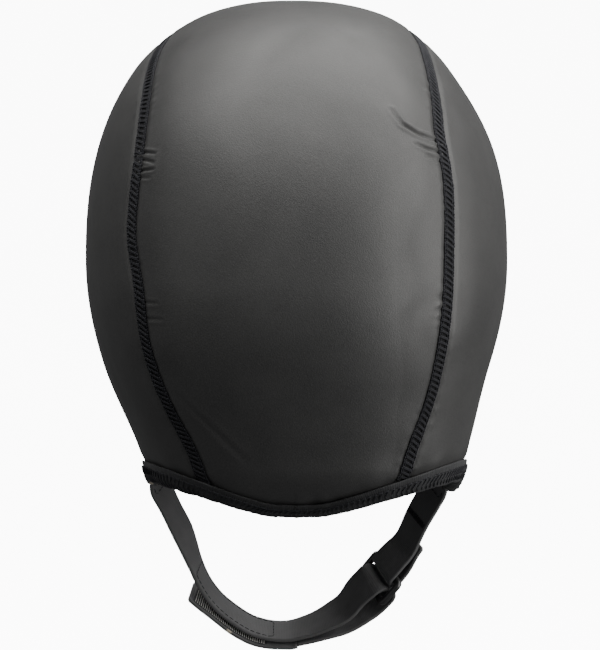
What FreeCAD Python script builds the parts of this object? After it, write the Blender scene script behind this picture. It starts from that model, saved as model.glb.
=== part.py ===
import FreeCAD, Part
import math
import os

from FreeCAD import Placement, Rotation, Vector

# A stretchy neoprene swim cap with a chin strap.  Millimetres, +Z up, face towards -Y, the
# wearer's left at +X.  The origin is where the top of the head touches the inside of the crown.

os.makedirs("parts", exist_ok=True)
doc = FreeCAD.newDocument("swim_cap")

# ---------------------------------------------------------------- driving dimensions

DRIVING_SIZES = {
    "half_width": 84.2,          # outside of the cap, at its widest level
    "back_reach": 100.0,
    "front_reach": 100.0,
    "crown_rise": 103.0,         # from the widest level up to the outside of the crown
    "squareness": 2.4,           # exponent of the rounded cross-section, 2 is an ellipse
    "low_lean": 3.2,             # the soft lower half leans this far to the wearer's right
    "lean_top": -140.0,
    "lean_span": 42.0,
    "shoulder_sag": 0.05,        # share of the half width that the soft right shoulder falls in by
    "shoulder_z": -22.0,
    "shoulder_span": 26.0,
    "lower_span": 88.0,          # height over which the sides and nape draw in
    "side_draw": 13.0,
    "nape_draw": 20.0,
    "cheek_draw": 5.0,
    "nape_tuck": 12.0,           # how far the elastic hem pulls the nape in further
    "tuck_top": -176.0,
    "tuck_span": 20.0,
    "foam_thick": 2.5,
    "lining_thick": 0.5,
    "seam_gap": 0.15,            # each panel stops this far short of the seam line
    "seam_wide": 6.0,
    "seam_proud": 0.75,
    "looper_wide": 5.0,
    "looper_proud": 0.5,
    "hem_tall": 9.0,
    "hem_wall": 0.8,
    "hem_slack": 0.38,           # room between the folded hem and the panel inside it
    "hem_stitch_low": 1.6,
    "hem_stitch_high": 7.2,
    "hem_stitch_proud": 0.35,
    "strap_wide": 17.0,
    "strap_thick": 1.5,
    "strap_tilt": 14.0,          # the loop of strap leans forward from the plumb line
    "hinge_y": -26.0,
    "hinge_z": -193.5,
    "patch_thick": 0.5,
    "patch_margin": 0.75,
    "thread_thick": 0.3,
    "thread_inset": 1.6,
    "ring_pitch": 10.0,          # between the middles of the ring's two bars
    "ring_bar": 2.4,
    "ring_window": 18.6,
    "ring_corner": 1.6,
    "ring_round": 0.7,
}

sheet = doc.addObject("Spreadsheet::Sheet", "sizes")
for row, (word, value) in enumerate(DRIVING_SIZES.items(), start=1):
    sheet.set(f"A{row}", word)
    sheet.set(f"B{row}", str(value))
    sheet.setAlias(f"B{row}", word)
doc.recompute()
SIZES = {word: float(sheet.get(word)) for word in DRIVING_SIZES}


def size(word):
    """A driving dimension, as the spreadsheet holds it."""
    return SIZES[word]


FOAM = size("foam_thick")
LINED = FOAM + size("lining_thick")
WIDEST_Z = LINED - size("crown_rise")
CENTRE = Vector(0, 0, WIDEST_Z)

# ---------------------------------------------------------------- the head form


def smooth(knots, at):
    """Smooth curve through (position, value) knots, read at one position."""
    last = len(knots) - 1
    k = 0
    while k < last - 1 and at > knots[k + 1][0]:
        k += 1

    def slope(i):
        low, high = max(i - 1, 0), min(i + 1, last)
        return (knots[high][1] - knots[low][1]) / (knots[high][0] - knots[low][0])

    step = knots[k + 1][0] - knots[k][0]
    f = (at - knots[k][0]) / step
    ahead = f * f * (3 - 2 * f)
    return (knots[k][1] * (1 - ahead) + knots[k + 1][1] * ahead
            + step * slope(k) * f * (1 - f) ** 2 - step * slope(k + 1) * f * f * (1 - f))


FULL_DRAW = 1.35         # the sides stop drawing in this many lower spans below the widest level


def girth(y, z):
    """Half width and reach of the cap's outside at one height, on the front or the back."""
    fall = min(max((WIDEST_Z - z) / size("lower_span"), 0), FULL_DRAW)
    draw = 1 - math.cos(math.pi * fall / FULL_DRAW)
    wide = size("half_width") - size("side_draw") * draw
    if y < 0:
        return wide, size("front_reach") - size("cheek_draw") * draw
    tuck = max((size("tuck_top") - z) / size("tuck_span"), 0) ** 2
    return wide, size("back_reach") - size("nape_draw") * draw - size("nape_tuck") * tuck


def middle(z):
    """Where the middle of the form lies at a height: it leans a little to one side low down."""
    fall = min(max((size("lean_top") - z) / size("lean_span"), 0), 1)
    return -size("low_lean") * fall * fall * (3 - 2 * fall)


def level(p):
    """Below 1 inside the head form, above 1 outside it."""
    wide, deep = girth(p.y, p.z)
    if p.x < 0:
        near = math.exp(-((p.z - size("shoulder_z")) / size("shoulder_span")) ** 2)
        wide *= 1 - size("shoulder_sag") * near * min(-p.x / 40, 1)
    above = max(p.z - WIDEST_Z, 0) / size("crown_rise")
    power = size("squareness")
    return (abs(p.x - middle(p.z)) / wide) ** power + (abs(p.y) / deep) ** power + above ** power


def reach(start, heading):
    """First point of the outside surface, going out from start along heading."""
    near, far = 0.0, 260.0
    for _ in range(38):
        middle = (near + far) / 2
        if level(start + heading * middle) < 1:
            near = middle
        else:
            far = middle
    return start + heading * near


def onto_surface(p):
    return reach(CENTRE, (p - CENTRE).normalize())


def outward(p):
    """Unit normal of the head form, by central differences."""
    d = 0.05
    along_x = level(p + Vector(d, 0, 0)) - level(p - Vector(d, 0, 0))
    along_y = level(p + Vector(0, d, 0)) - level(p - Vector(0, d, 0))
    along_z = level(p + Vector(0, 0, d)) - level(p - Vector(0, 0, d))
    return Vector(along_x, along_y, along_z).normalize()


# ---------------------------------------------------------------- seam lines and the hem line

# Distance of each seam from the middle, against the angle from straight back (0) over the
# crown (90) to the forehead (180).
SEAM_REACH = {
    "left": [(-62, 34), (-50, 40.5), (-40, 49), (-30, 55.5), (-18, 60), (-2, 62.4), (12, 65),
             (24, 64.2), (38, 61.8), (55, 59.4), (72, 57), (96, 52), (130, 47), (175, 42)],
    "right": [(-62, 39), (-50, 45), (-37, 52.5), (-24, 56.5), (-10, 59), (8, 60), (26, 59.8),
              (34, 58.2), (41, 56.4), (50, 55.6), (68, 52.8), (96, 48.2), (130, 45), (175, 42)],
}
SIDE_SIGN = {"left": 1, "right": -1}

# Height of the cap's lower edge against the angle round from the nape (0) to the forehead (180).
BROW_EDGE = [(141, -127.0), (152, -103.0), (166, -90.0), (180, -86.0)]
HEM_HEIGHT = {
    "left": [(0, -197.3), (15, -196.2), (26, -192.8), (36, -189.5), (50, -187.2), (66, -187.0),
             (82, -188.8), (98, -191.5), (112, -193.0), (122, -188.5), (129, -176.0),
             (134, -154.0)] + BROW_EDGE,
    "right": [(0, -197.3), (15, -196.2), (26, -192.8), (36, -189.3), (50, -186.5), (66, -186.2),
              (82, -188.3), (98, -193.0), (112, -196.0), (122, -191.5), (129, -178.0),
              (134, -155.0)] + BROW_EDGE,
}
FLAP_BACK_ANGLE = 66
FLAP_FRONT_ANGLE = 123


def hem_point(angle, side):
    """Point of the lower edge, at an angle round from the nape."""
    flat = math.radians(angle)
    heading = Vector(SIDE_SIGN[side] * math.sin(flat), math.cos(flat), 0)
    return reach(Vector(0, 0, smooth(HEM_HEIGHT[side], angle)), heading)


def seam_point(angle, side, shift=0.0):
    """Point of a seam line; shift moves it away from the middle of the cap."""
    across = SIDE_SIGN[side] * (smooth(SEAM_REACH[side], angle) + shift)
    turn = math.radians(angle)
    return reach(Vector(across, 0, WIDEST_Z), Vector(0, math.cos(turn), math.sin(turn)))


def angle_round(p):
    return math.degrees(math.atan2(abs(p.x), p.y))


def seam_end(side, start, stop):
    """Seam angle at which the seam meets the hem line, between two guesses."""
    for _ in range(40):
        middle = (start + stop) / 2
        p = seam_point(middle, side)
        if p.z < smooth(HEM_HEIGHT[side], angle_round(p)):
            start = middle
        else:
            stop = middle
    return middle


class Line3:
    """A curve on the surface kept as closely spaced points, read by distance along it."""

    def __init__(self, points):
        self.points = points
        self.run = [0.0]
        for a, b in zip(points, points[1:]):
            self.run.append(self.run[-1] + (b - a).Length)

    def at(self, distance):
        k = 1
        while k < len(self.run) - 1 and self.run[k] < distance:
            k += 1
        part = (distance - self.run[k - 1]) / (self.run[k] - self.run[k - 1])
        return self.points[k - 1] + (self.points[k] - self.points[k - 1]) * part

    def spread(self, count, margin=0.0):
        """Evenly spaced points, leaving a margin at both ends."""
        usable = self.run[-1] - 2 * margin
        return [self.at(margin + usable * i / (count - 1)) for i in range(count)]


def seam_line(side, shift=0.0):
    low = seam_end(side, -65, -20)
    high = seam_end(side, 178, 130)
    return Line3([seam_point(low + (high - low) * i / 240, side, shift) for i in range(241)])


def hem_line(side, start, stop):
    return Line3([hem_point(start + (stop - start) * i / 160, side) for i in range(161)])


def raised_point(p, forward, tall):
    """A hem point moved up the surface, square to the hem line's own direction."""
    up = outward(p).cross(forward).normalize()
    if up.z < 0:
        up = up * -1
    return onto_surface(p + up * tall)


def raised(points, tall):
    last = len(points) - 1
    return [raised_point(p, points[min(i + 1, last)] - points[max(i - 1, 0)], tall)
            for i, p in enumerate(points)]


# ---------------------------------------------------------------- curved slabs


def lifted(grid, offset):
    """A grid of surface points moved out along the surface normals."""
    return [[p + outward(p) * offset for p in line] for line in grid]


FORWARD = 1              # ruled surfaces join their two curves start to start


def skin(grid):
    surface = Part.BSplineSurface()
    surface.interpolate(grid)
    return surface


def closed_solid(faces):
    shell = Part.makeCompound(faces)
    shell.sewShape(1e-3)
    solid = Part.Solid(shell.Shells[0])
    if solid.Volume < 0:
        solid.reverse()
    return solid


def slab(grid, low, high):
    """Solid between two offsets of one patch of the surface."""
    under = skin(lifted(grid, low))
    over = skin(lifted(grid, high))
    faces = [under.toShape(), over.toShape()]
    u_low, u_high, v_low, v_high = under.bounds()
    p_low, p_high, q_low, q_high = over.bounds()
    for a, b in ((under.uIso(u_low), over.uIso(p_low)), (under.uIso(u_high), over.uIso(p_high)),
                 (under.vIso(v_low), over.vIso(q_low)), (under.vIso(v_high), over.vIso(q_high))):
        faces.append(Part.makeRuledSurface(a.toShape(), b.toShape(), FORWARD))
    return closed_solid(faces)


def patch(low_edge, high_edge, start_edge, stop_edge):
    """Four-sided patch: low and high edges run one way, start and stop edges join their ends."""
    columns = len(low_edge)
    rows = len(start_edge)
    grid = []
    for i in range(columns):
        u = i / (columns - 1)
        line = []
        for j in range(rows):
            v = j / (rows - 1)
            p = (low_edge[i] * (1 - v) + high_edge[i] * v + start_edge[j] * (1 - u) + stop_edge[j] * u
                 - low_edge[0] * ((1 - u) * (1 - v)) - low_edge[-1] * (u * (1 - v))
                 - high_edge[0] * ((1 - u) * v) - high_edge[-1] * (u * v))
            line.append(onto_surface(p))
        grid.append(line)
    return grid


def ribbon(line, half_wide, margin, count):
    """Strip of surface points across a seam line."""
    points = line.spread(count, margin)
    grid = []
    for i, p in enumerate(points):
        forward = points[min(i + 1, count - 1)] - points[max(i - 1, 0)]
        across = outward(p).cross(forward).normalize()
        grid.append([onto_surface(p + across * (half_wide * k)) for k in (-1, -0.5, 0, 0.5, 1)])
    return grid


def sweep(points_at, profile):
    """Faces of a profile of (height, offset) corners swept along surface points at each height."""
    rails = []
    for height, offset in profile:
        rails.append([p + outward(p) * offset for p in points_at(height)])
    faces = []
    for k, rail in enumerate(rails):
        after = rails[(k + 1) % len(rails)]
        faces.append(Part.makeRuledSurface(curve_through(rail), curve_through(after), FORWARD))
    return faces


def curve_through(points):
    curve = Part.BSplineCurve()
    curve.interpolate(points)
    return curve.toShape()


def add_shape(label, shape):
    """A sub-part whose curved shape is worked out from the head form and the sheet's sizes."""
    feature = doc.addObject("Part::Feature", label)
    feature.Label = label
    feature.Shape = shape
    feature.Placement = Placement()
    return feature


# ---------------------------------------------------------------- panels, linings and seams

ALONG = 61
ACROSS = 15
BELOW_HEM = 1.0          # the panels end this far above the hem's lower edge, inside its fold


def hem_spread(side, start, stop, count):
    return raised(hem_line(side, start, stop).spread(count), BELOW_HEM)


def snapped(points, first, last):
    """The same points with both ends moved exactly onto two corners."""
    return [first] + points[1:-1] + [last]


def side_panel_grid(side):
    top = seam_line(side, size("seam_gap")).spread(ALONG, BELOW_HEM)
    nape_angle, brow_angle = angle_round(top[0]), angle_round(top[-1])
    bottom = hem_spread(side, FLAP_BACK_ANGLE, FLAP_FRONT_ANGLE, ALONG)
    back = snapped(hem_spread(side, FLAP_BACK_ANGLE, nape_angle, ACROSS), bottom[0], top[0])
    front = snapped(hem_spread(side, FLAP_FRONT_ANGLE, brow_angle, ACROSS), bottom[-1], top[-1])
    return patch(bottom, top, back, front)


def centre_panel_grid():
    left = seam_line("left", -size("seam_gap")).spread(ALONG, BELOW_HEM)
    right = seam_line("right", -size("seam_gap")).spread(ALONG, BELOW_HEM)
    edges = []
    for end, middle in ((0, 0), (-1, 180)):
        half = (ACROSS + 1) // 2
        from_left = hem_spread("left", angle_round(left[end]), middle, half)
        from_right = hem_spread("right", angle_round(right[end]), middle, half)
        edges.append(snapped(from_left[:-1] + from_right[::-1], left[end], right[end]))
    return patch(left, right, edges[0], edges[1])


PANEL_GRIDS = {
    "centre": centre_panel_grid(),
    "left": side_panel_grid("left"),
    "right": side_panel_grid("right"),
}
for place, grid in PANEL_GRIDS.items():
    add_shape(f"{place}_panel", slab(grid, -FOAM, 0))
    add_shape(f"{place}_lining", slab(grid, -LINED, -FOAM))

SEAM_REST = 0.05         # threads lie on the surface with a hair of room
for side in SIDE_SIGN:
    line = seam_line(side)
    hem_room = size("hem_tall") + 1.6
    cover = ribbon(line, size("seam_wide") / 2, hem_room, 41)
    add_shape(f"{side}_seam_cover", slab(cover, SEAM_REST, size("seam_proud")))
    looper = ribbon(line, size("looper_wide") / 2, hem_room, 41)
    add_shape(f"{side}_seam_looper", slab(looper, -LINED - size("looper_proud"), -LINED - SEAM_REST))

# ---------------------------------------------------------------- folded hem and its stitching

SLACK = size("hem_slack")
WALL = size("hem_wall")
TALL = size("hem_tall")
HEM_STEPS = 5            # the walls of the fold follow the curved surface in this many steps
OUTSIDE = (SLACK, SLACK + WALL)
INSIDE = (-LINED - SLACK, -LINED - SLACK - WALL)


def hem_profile():
    """Section of the fold: down the outer wall's hidden face, up the inner one, and round the outside."""
    bed = BELOW_HEM - SLACK
    hidden = [bed + (TALL - bed) * i / HEM_STEPS for i in range(HEM_STEPS + 1)]
    shown = [TALL * i / HEM_STEPS for i in range(HEM_STEPS + 1)]
    section = [(height, OUTSIDE[0]) for height in reversed(hidden)]
    section += [(height, INSIDE[0]) for height in hidden]
    section += [(height, INSIDE[1]) for height in reversed(shown)]
    section += [(height, OUTSIDE[1]) for height in shown]
    return section


def half_hem(side):
    points = hem_line(side, 0, 180).spread(65)

    def points_at(height):
        if not height:
            return points
        line = raised(points, height)
        for end in (0, -1):      # both halves meet here, so both work these two out alike
            line[end] = raised_point(points[end], Vector(1, 0, 0), height)
        return line

    return sweep(points_at, hem_profile())


add_shape("hem_binding", closed_solid(half_hem("left") + half_hem("right")))

hem_threads = []
for side in SIDE_SIGN:
    points = hem_line(side, 1, 179).spread(49)
    heights = (size("hem_stitch_low"), (size("hem_stitch_low") + size("hem_stitch_high")) / 2,
               size("hem_stitch_high"))
    rails = [raised(points, height) for height in heights]
    grid = [list(across) for across in zip(*rails)]
    base = SLACK + WALL + SEAM_REST
    hem_threads.append(slab(grid, base, base + size("hem_stitch_proud")))
add_shape("hem_stitching", Part.makeCompound(hem_threads))

# ---------------------------------------------------------------- chin strap paths

# The straps are flat bands.  Each follows a path in the loop's own plane, as (x, up) from the
# line that the loop swings about, and is strap_wide across that plane.


class Run:
    """A straight stretch of a path."""

    def __init__(self, start, stop):
        self.start, self.stop = start, stop
        self.length = (stop - start).Length
        heading = (stop - start).normalize()
        self.left = Vector(-heading.y, heading.x, 0)

    def point(self, distance, offset):
        return self.start + (self.stop - self.start) * (distance / self.length) + self.left * offset

    def edge(self, begin, end, offset):
        return Part.LineSegment(self.point(begin, offset), self.point(end, offset))


class Bend:
    """An arc of a path; sweep is positive for a turn to the left."""

    def __init__(self, centre, radius, first, sweep):
        self.centre, self.radius, self.first, self.sweep = centre, radius, first, sweep
        self.length = radius * abs(sweep)
        self.sign = 1 if sweep > 0 else -1

    def angle(self, distance):
        return self.first + self.sweep * distance / self.length

    def point(self, distance, offset):
        turn = self.angle(distance)
        away = self.radius - self.sign * offset
        return self.centre + Vector(math.cos(turn), math.sin(turn), 0) * away

    def edge(self, begin, end, offset):
        circle = Part.Circle(self.centre, Vector(0, 0, 1), self.radius - self.sign * offset)
        low, high = sorted((self.angle(begin), self.angle(end)))
        return Part.ArcOfCircle(circle, low, high)


def rounded(corners):
    """Straight runs through the corners, joined by tangent arcs as large as the runs allow."""
    points = [Vector(x, up, 0) for x, up in corners]
    path = []
    begin = points[0]
    for before, corner, after in zip(points, points[1:], points[2:]):
        into, out = corner - before, after - corner
        turn = math.atan2(into.x * out.y - into.y * out.x, into.dot(out))
        back = 0.45 * min(into.Length, out.Length)
        radius = back / math.tan(abs(turn) / 2)
        stop = corner - into.normalize() * back
        side = 1 if turn > 0 else -1
        centre = stop + Vector(-into.y, into.x, 0) * (radius * side)
        path.append(Run(begin, stop))
        path.append(Bend(centre, radius, math.atan2(stop.y - centre.y, stop.x - centre.x), turn))
        begin = corner + out.normalize() * back
    path.append(Run(begin, points[-1]))
    return path


def path_length(path):
    return sum(piece.length for piece in path)


def pieces_between(path, begin, end):
    """Each piece of a path that lies between two distances, with the part of it that does."""
    passed = 0.0
    for piece in path:
        low, high = max(begin - passed, 0), min(end - passed, piece.length)
        if high - low > 1e-6:
            yield piece, low, high
        passed += piece.length


def band_outline(path, begin, end, low, high):
    """Closed outline between two offsets to the left of a path, from begin to end along it."""
    parts = list(pieces_between(path, begin, end))
    outline = []
    for offset in (low, high):
        outline += [piece.edge(start, stop, offset) for piece, start, stop in parts]
    for piece, distance in ((parts[0][0], parts[0][1]), (parts[-1][0], parts[-1][2])):
        outline.append(Part.LineSegment(piece.point(distance, low), piece.point(distance, high)))
    return outline


def point_beside(path, distance, offset):
    for piece, _, high in pieces_between(path, distance - 0.01, distance):
        p = piece.point(high, offset)
    return (p.x, p.y)


# ---------------------------------------------------------------- PartDesign helpers

STRAP_PLACE = Placement(Vector(0, size("hinge_y"), size("hinge_z")),
                        Rotation(Vector(1, 0, 0), -size("strap_tilt")))


def new_body(label, placement):
    body = doc.addObject("PartDesign::Body", label)
    body.Label = label
    body.Placement = placement
    return body


def new_sketch(body, name, role, outline):
    plane = [part for part in body.Origin.OriginFeatures if part.Role == role][0]
    sketch = body.newObject("Sketcher::SketchObject", name)
    sketch.AttachmentSupport = [(plane, "")]
    sketch.MapMode = "FlatFace"
    sketch.addGeometry(outline, False)
    return sketch


def symmetric(body, kind, name, sketch, length):
    """A Pad or Pocket that reaches equally to both sides of its sketch."""
    feature = body.newObject(f"PartDesign::{kind}", name)
    feature.Profile = sketch
    feature.SideType = "Symmetric"
    feature.setExpression("Length", length)
    body.Tip = feature
    return feature


def band_body(label, path, begin, end, low, high, length="sizes.strap_wide"):
    body = new_body(label, STRAP_PLACE)
    outline = band_outline(path, begin, end, low, high)
    sketch = new_sketch(body, f"{label}_outline", "XZ_Plane", outline)
    symmetric(body, "Pad", f"{label}_pad", sketch, length)
    return body


def stitch_frame(label, path, begin, end, low, high):
    """Thread in a rectangle: a thin band with its middle cut away."""
    wide = "sizes.strap_wide - 2 * sizes.thread_inset"
    body = band_body(label, path, begin, end, low, high, wide)
    rim = size("thread_inset")
    outline = band_outline(path, begin + rim, end - rim, low - 1, high + 1)
    sketch = new_sketch(body, f"{label}_inside", "XZ_Plane", outline)
    symmetric(body, "Pocket", f"{label}_cut", sketch, "sizes.strap_wide - 4 * sizes.thread_inset")
    return body


# ---------------------------------------------------------------- ring position

RING_MIDDLE = Vector(-34.0, -40.5, 0)
RING_UP = Vector(-0.625, 0.781, 0).normalize()     # along the strap, towards the short strap's root
RING_IN = Vector(RING_UP.y, -RING_UP.x, 0)         # towards the inside of the loop
UPPER_BAR = RING_MIDDLE + RING_UP * (size("ring_pitch") / 2)
LOWER_BAR = RING_MIDDLE - RING_UP * (size("ring_pitch") / 2)


def near_bar(bar, along, inward):
    p = bar + RING_UP * along + RING_IN * inward
    return (p.x, p.y)


# ---------------------------------------------------------------- the straps and their patches

HALF = size("strap_thick") / 2
PATCH = size("patch_thick")
THREAD = size("thread_thick")
GRIP_ROOM = 0.25         # the two patches stand this far apart
STACK = HALF + PATCH + GRIP_ROOM + PATCH + HALF     # from the strap's middle to the tab's middle

# Down from the left flap and under the chin to the ring's lower bar.
UNDER_CHIN = [
    (51.4, 7.0), (51.4, -1.0), (48.8, -14.0), (44.0, -25.2), (40.6, -35.5), (36.2, -45.4), (30.7, -52.3),
    (23.9, -58.0), (17.3, -62.0), (10.2, -64.0), (2.2, -64.0), (-8.0, -60.7), (-19.4, -54.0),
    near_bar(LOWER_BAR, -6.0, 3.9),
]
inner_run = rounded(UNDER_CHIN + [near_bar(LOWER_BAR, 1.0, 3.9)])
HINGE_DISTANCE = 100.0    # along the strap from its root to where the free end starts to lift
TAB_GAP = 0.4

# The same, then through the ring and back along its own outside.
strap_path = rounded(UNDER_CHIN + [
    near_bar(LOWER_BAR, 3.0, 3.9), near_bar(LOWER_BAR, 3.0, -6.5), near_bar(LOWER_BAR, -6.0, -6.0),
    (-21.2, -59.9), point_beside(inner_run, HINGE_DISTANCE + 5, STACK + 0.2),
    point_beside(inner_run, HINGE_DISTANCE, STACK),
])
band_body("long_strap", strap_path, 0, path_length(strap_path), -HALF, HALF)

band_body("loop_patch", inner_run, 47, 92, HALF, HALF + PATCH, "sizes.strap_wide - 2 * sizes.patch_margin")
stitch_frame("loop_patch_stitching", inner_run, 47.5, 91.5, -HALF - SEAM_REST - THREAD, -HALF - SEAM_REST)
stitch_frame("long_root_stitching", inner_run, 0.8, 10.5, -HALF - SEAM_REST - THREAD, -HALF - SEAM_REST)

# The free end lies on the outside of the strap; its last stretch stands a little proud.
tab_path = rounded([
    point_beside(inner_run, HINGE_DISTANCE - TAB_GAP, STACK), (2.3, -66.8), (10.9, -66.9), (18.8, -64.9),
    (25.7, -60.7), (33.1, -54.4), (42.6, -46.2),
])
TAB_LENGTH = path_length(tab_path)
band_body("strap_tab", tab_path, 0, TAB_LENGTH, -HALF, HALF)
band_body("hook_patch", tab_path, 12, TAB_LENGTH - 1.5, HALF, HALF + PATCH,
          "sizes.strap_wide - 2 * sizes.patch_margin")
stitch_frame("hook_patch_stitching", tab_path, 12.5, TAB_LENGTH - 2,
             -HALF - SEAM_REST - THREAD, -HALF - SEAM_REST)

# Down from the right flap, round the ring's upper bar and back up to a bar tack.
short_path = rounded([
    (-55.6, 7.0), (-55.1, 0.0), (-52.0, -7.4), (-48.2, -16.0), near_bar(UPPER_BAR, 12.0, 0.85),
    near_bar(UPPER_BAR, 5.0, 2.2), near_bar(UPPER_BAR, -2.3, 2.3), near_bar(UPPER_BAR, -2.3, -2.3),
    near_bar(UPPER_BAR, 5.0, -2.2), near_bar(UPPER_BAR, 12.0, -0.85), near_bar(UPPER_BAR, 16.5, -0.95),
])
band_body("short_strap", short_path, 0, path_length(short_path), -HALF, HALF)
stitch_frame("short_root_stitching", short_path, 0.8, 10.5, HALF + SEAM_REST, HALF + SEAM_REST + THREAD)
band_body("ring_bar_tack", short_path, 22.5, 25.0, HALF + SEAM_REST, HALF + SEAM_REST + THREAD,
          "sizes.strap_wide - 2 * sizes.thread_inset")

# ---------------------------------------------------------------- the ring


def rounded_rectangle(long, short, corner):
    """Outline with its long side across the strap (sketch x) and its short side along it."""
    x, y = long / 2 - corner, short / 2 - corner
    outline = []
    quarter = math.pi / 2
    for turn, (cx, cy) in enumerate(((x, y), (-x, y), (-x, -y), (x, -y))):
        circle = Part.Circle(Vector(cx, cy, 0), Vector(0, 0, 1), corner)
        outline.append(Part.ArcOfCircle(circle, turn * quarter, (turn + 1) * quarter))
    for side in (1, -1):
        outer_x, outer_y = side * (x + corner), side * (y + corner)
        outline.append(Part.LineSegment(Vector(-x, outer_y, 0), Vector(x, outer_y, 0)))
        outline.append(Part.LineSegment(Vector(outer_x, -y, 0), Vector(outer_x, y, 0)))
    return outline


BAR = size("ring_bar")
ring_turn = Rotation(Vector(0, -1, 0), Vector(RING_UP.x, 0, RING_UP.y),
                     Vector(RING_IN.x, 0, RING_IN.y), "XYZ")
ring_local = Placement(Vector(RING_MIDDLE.x, 0, RING_MIDDLE.y), ring_turn)
ring = new_body("strap_ring", STRAP_PLACE.multiply(ring_local))
ring_outline = rounded_rectangle(size("ring_window") + 2 * BAR, size("ring_pitch") + BAR, size("ring_corner"))
plate = new_sketch(ring, "ring_outside", "XY_Plane", ring_outline)
symmetric(ring, "Pad", "ring_plate", plate, "sizes.ring_bar")
window_outline = rounded_rectangle(size("ring_window"), size("ring_pitch") - BAR, size("ring_round"))
window = new_sketch(ring, "ring_window_outline", "XY_Plane", window_outline)
symmetric(ring, "Pocket", "ring_opening", window, "sizes.ring_bar + 2")
doc.recompute()
edges = doc.getObject("ring_opening").Shape.Edges
flat_edges = [f"Edge{i}" for i, edge in enumerate(edges, start=1)
              if abs(edge.BoundBox.ZMax - edge.BoundBox.ZMin) < 0.01]
soften = ring.newObject("PartDesign::Fillet", "ring_rounding")
soften.Base = (doc.getObject("ring_opening"), flat_edges)
soften.setExpression("Radius", "sizes.ring_round")
ring.Tip = soften

# ---------------------------------------------------------------- check and write

doc.recompute()
for item in doc.Objects:
    if "Invalid" in item.State or "Error" in item.State:
        raise RuntimeError(f"{item.Label} failed: {item.State}")

for item in doc.Objects:
    if item.TypeId not in ("PartDesign::Body", "Part::Feature"):
        continue
    if item.getParentGeoFeatureGroup() is not None:
        continue
    shape = item.Shape
    if shape.isNull() or not shape.isValid() or not shape.Solids:
        raise RuntimeError(f"{item.Label} has no valid solid")
    print(f"{item.Label:24s} {shape.Volume / 1000:8.2f} cm3")
    shape.exportStep(f"parts/{item.Label}.step")
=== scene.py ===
import math

import bmesh
import bpy
import numpy as np
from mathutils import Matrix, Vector


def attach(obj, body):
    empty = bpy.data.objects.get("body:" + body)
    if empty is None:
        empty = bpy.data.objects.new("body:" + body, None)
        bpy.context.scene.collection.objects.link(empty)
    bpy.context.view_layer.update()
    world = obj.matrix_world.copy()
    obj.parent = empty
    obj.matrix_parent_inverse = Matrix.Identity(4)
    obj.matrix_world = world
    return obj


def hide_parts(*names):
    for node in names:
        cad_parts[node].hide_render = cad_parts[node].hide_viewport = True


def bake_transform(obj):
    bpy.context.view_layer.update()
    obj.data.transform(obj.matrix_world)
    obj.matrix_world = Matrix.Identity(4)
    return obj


# A soft neoprene swim cap with a chin strap.  +Z up, face towards -Y, the wearer's left at +X.
# Shapes are worked out in millimetres and turned to metres as each mesh is made.

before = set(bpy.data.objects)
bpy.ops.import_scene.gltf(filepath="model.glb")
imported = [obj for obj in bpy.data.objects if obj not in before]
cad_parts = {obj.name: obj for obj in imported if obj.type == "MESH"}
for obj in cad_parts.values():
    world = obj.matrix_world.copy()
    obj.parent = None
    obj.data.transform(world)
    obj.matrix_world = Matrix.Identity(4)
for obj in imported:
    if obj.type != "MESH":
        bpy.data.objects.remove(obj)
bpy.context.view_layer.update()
MM = 0.001
SIDE_SIGN = {"left": 1, "right": -1}

# ---------------------------------------------------------------- the head form, as designed

HALF_WIDTH, BACK_REACH, FRONT_REACH, CROWN_RISE, SQUARENESS = 84.2, 100.0, 100.0, 103.0, 2.4
LOWER_SPAN, FULL_DRAW = 88.0, 1.35
SIDE_DRAW, NAPE_DRAW, CHEEK_DRAW = 13.0, 20.0, 5.0
NAPE_TUCK, TUCK_TOP, TUCK_SPAN = 12.0, -176.0, 20.0
LOW_LEAN, LEAN_TOP, LEAN_SPAN = 3.2, -140.0, 42.0
SOFT_SHOULDER_Z = -22.0          # the empty cap sags a little here on the wearer's right
FOAM, LINED = 2.5, 3.0
WIDEST_Z = LINED - CROWN_RISE
CENTRE = np.array([0.0, 0.0, WIDEST_Z])
HEM_TALL = 9.0
SEAM_HALF = 3.0

SEAM_REACH = {
    "left": [(-62, 34), (-50, 40.5), (-40, 49), (-30, 55.5), (-18, 60), (-2, 62.4), (12, 65), (24, 64.2), (38, 61.8),
             (55, 59.4), (72, 57), (96, 52), (130, 47), (175, 42)],
    "right": [(-62, 39), (-50, 45), (-37, 52.5), (-24, 56.5), (-10, 59), (8, 60), (26, 59.8), (34, 58.2), (41, 56.4),
              (50, 55.6), (68, 52.8), (96, 48.2), (130, 45), (175, 42)],
}
BROW_EDGE = [(141, -127.0), (152, -103.0), (166, -90.0), (180, -86.0)]
HEM_HEIGHT = {
    "left": [(0, -197.3), (15, -196.2), (26, -192.8), (36, -189.5), (50, -187.2), (66, -187.0), (82, -188.8),
             (98, -191.5), (112, -193.0), (122, -188.5), (129, -176.0), (134, -154.0)] + BROW_EDGE,
    "right": [(0, -197.3), (15, -196.2), (26, -192.8), (36, -189.3), (50, -186.5), (66, -186.2), (82, -188.3),
              (98, -193.0), (112, -196.0), (122, -191.5), (129, -178.0), (134, -155.0)] + BROW_EDGE,
}
FLAP_BACK_ANGLE, FLAP_FRONT_ANGLE = 66, 123


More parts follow.
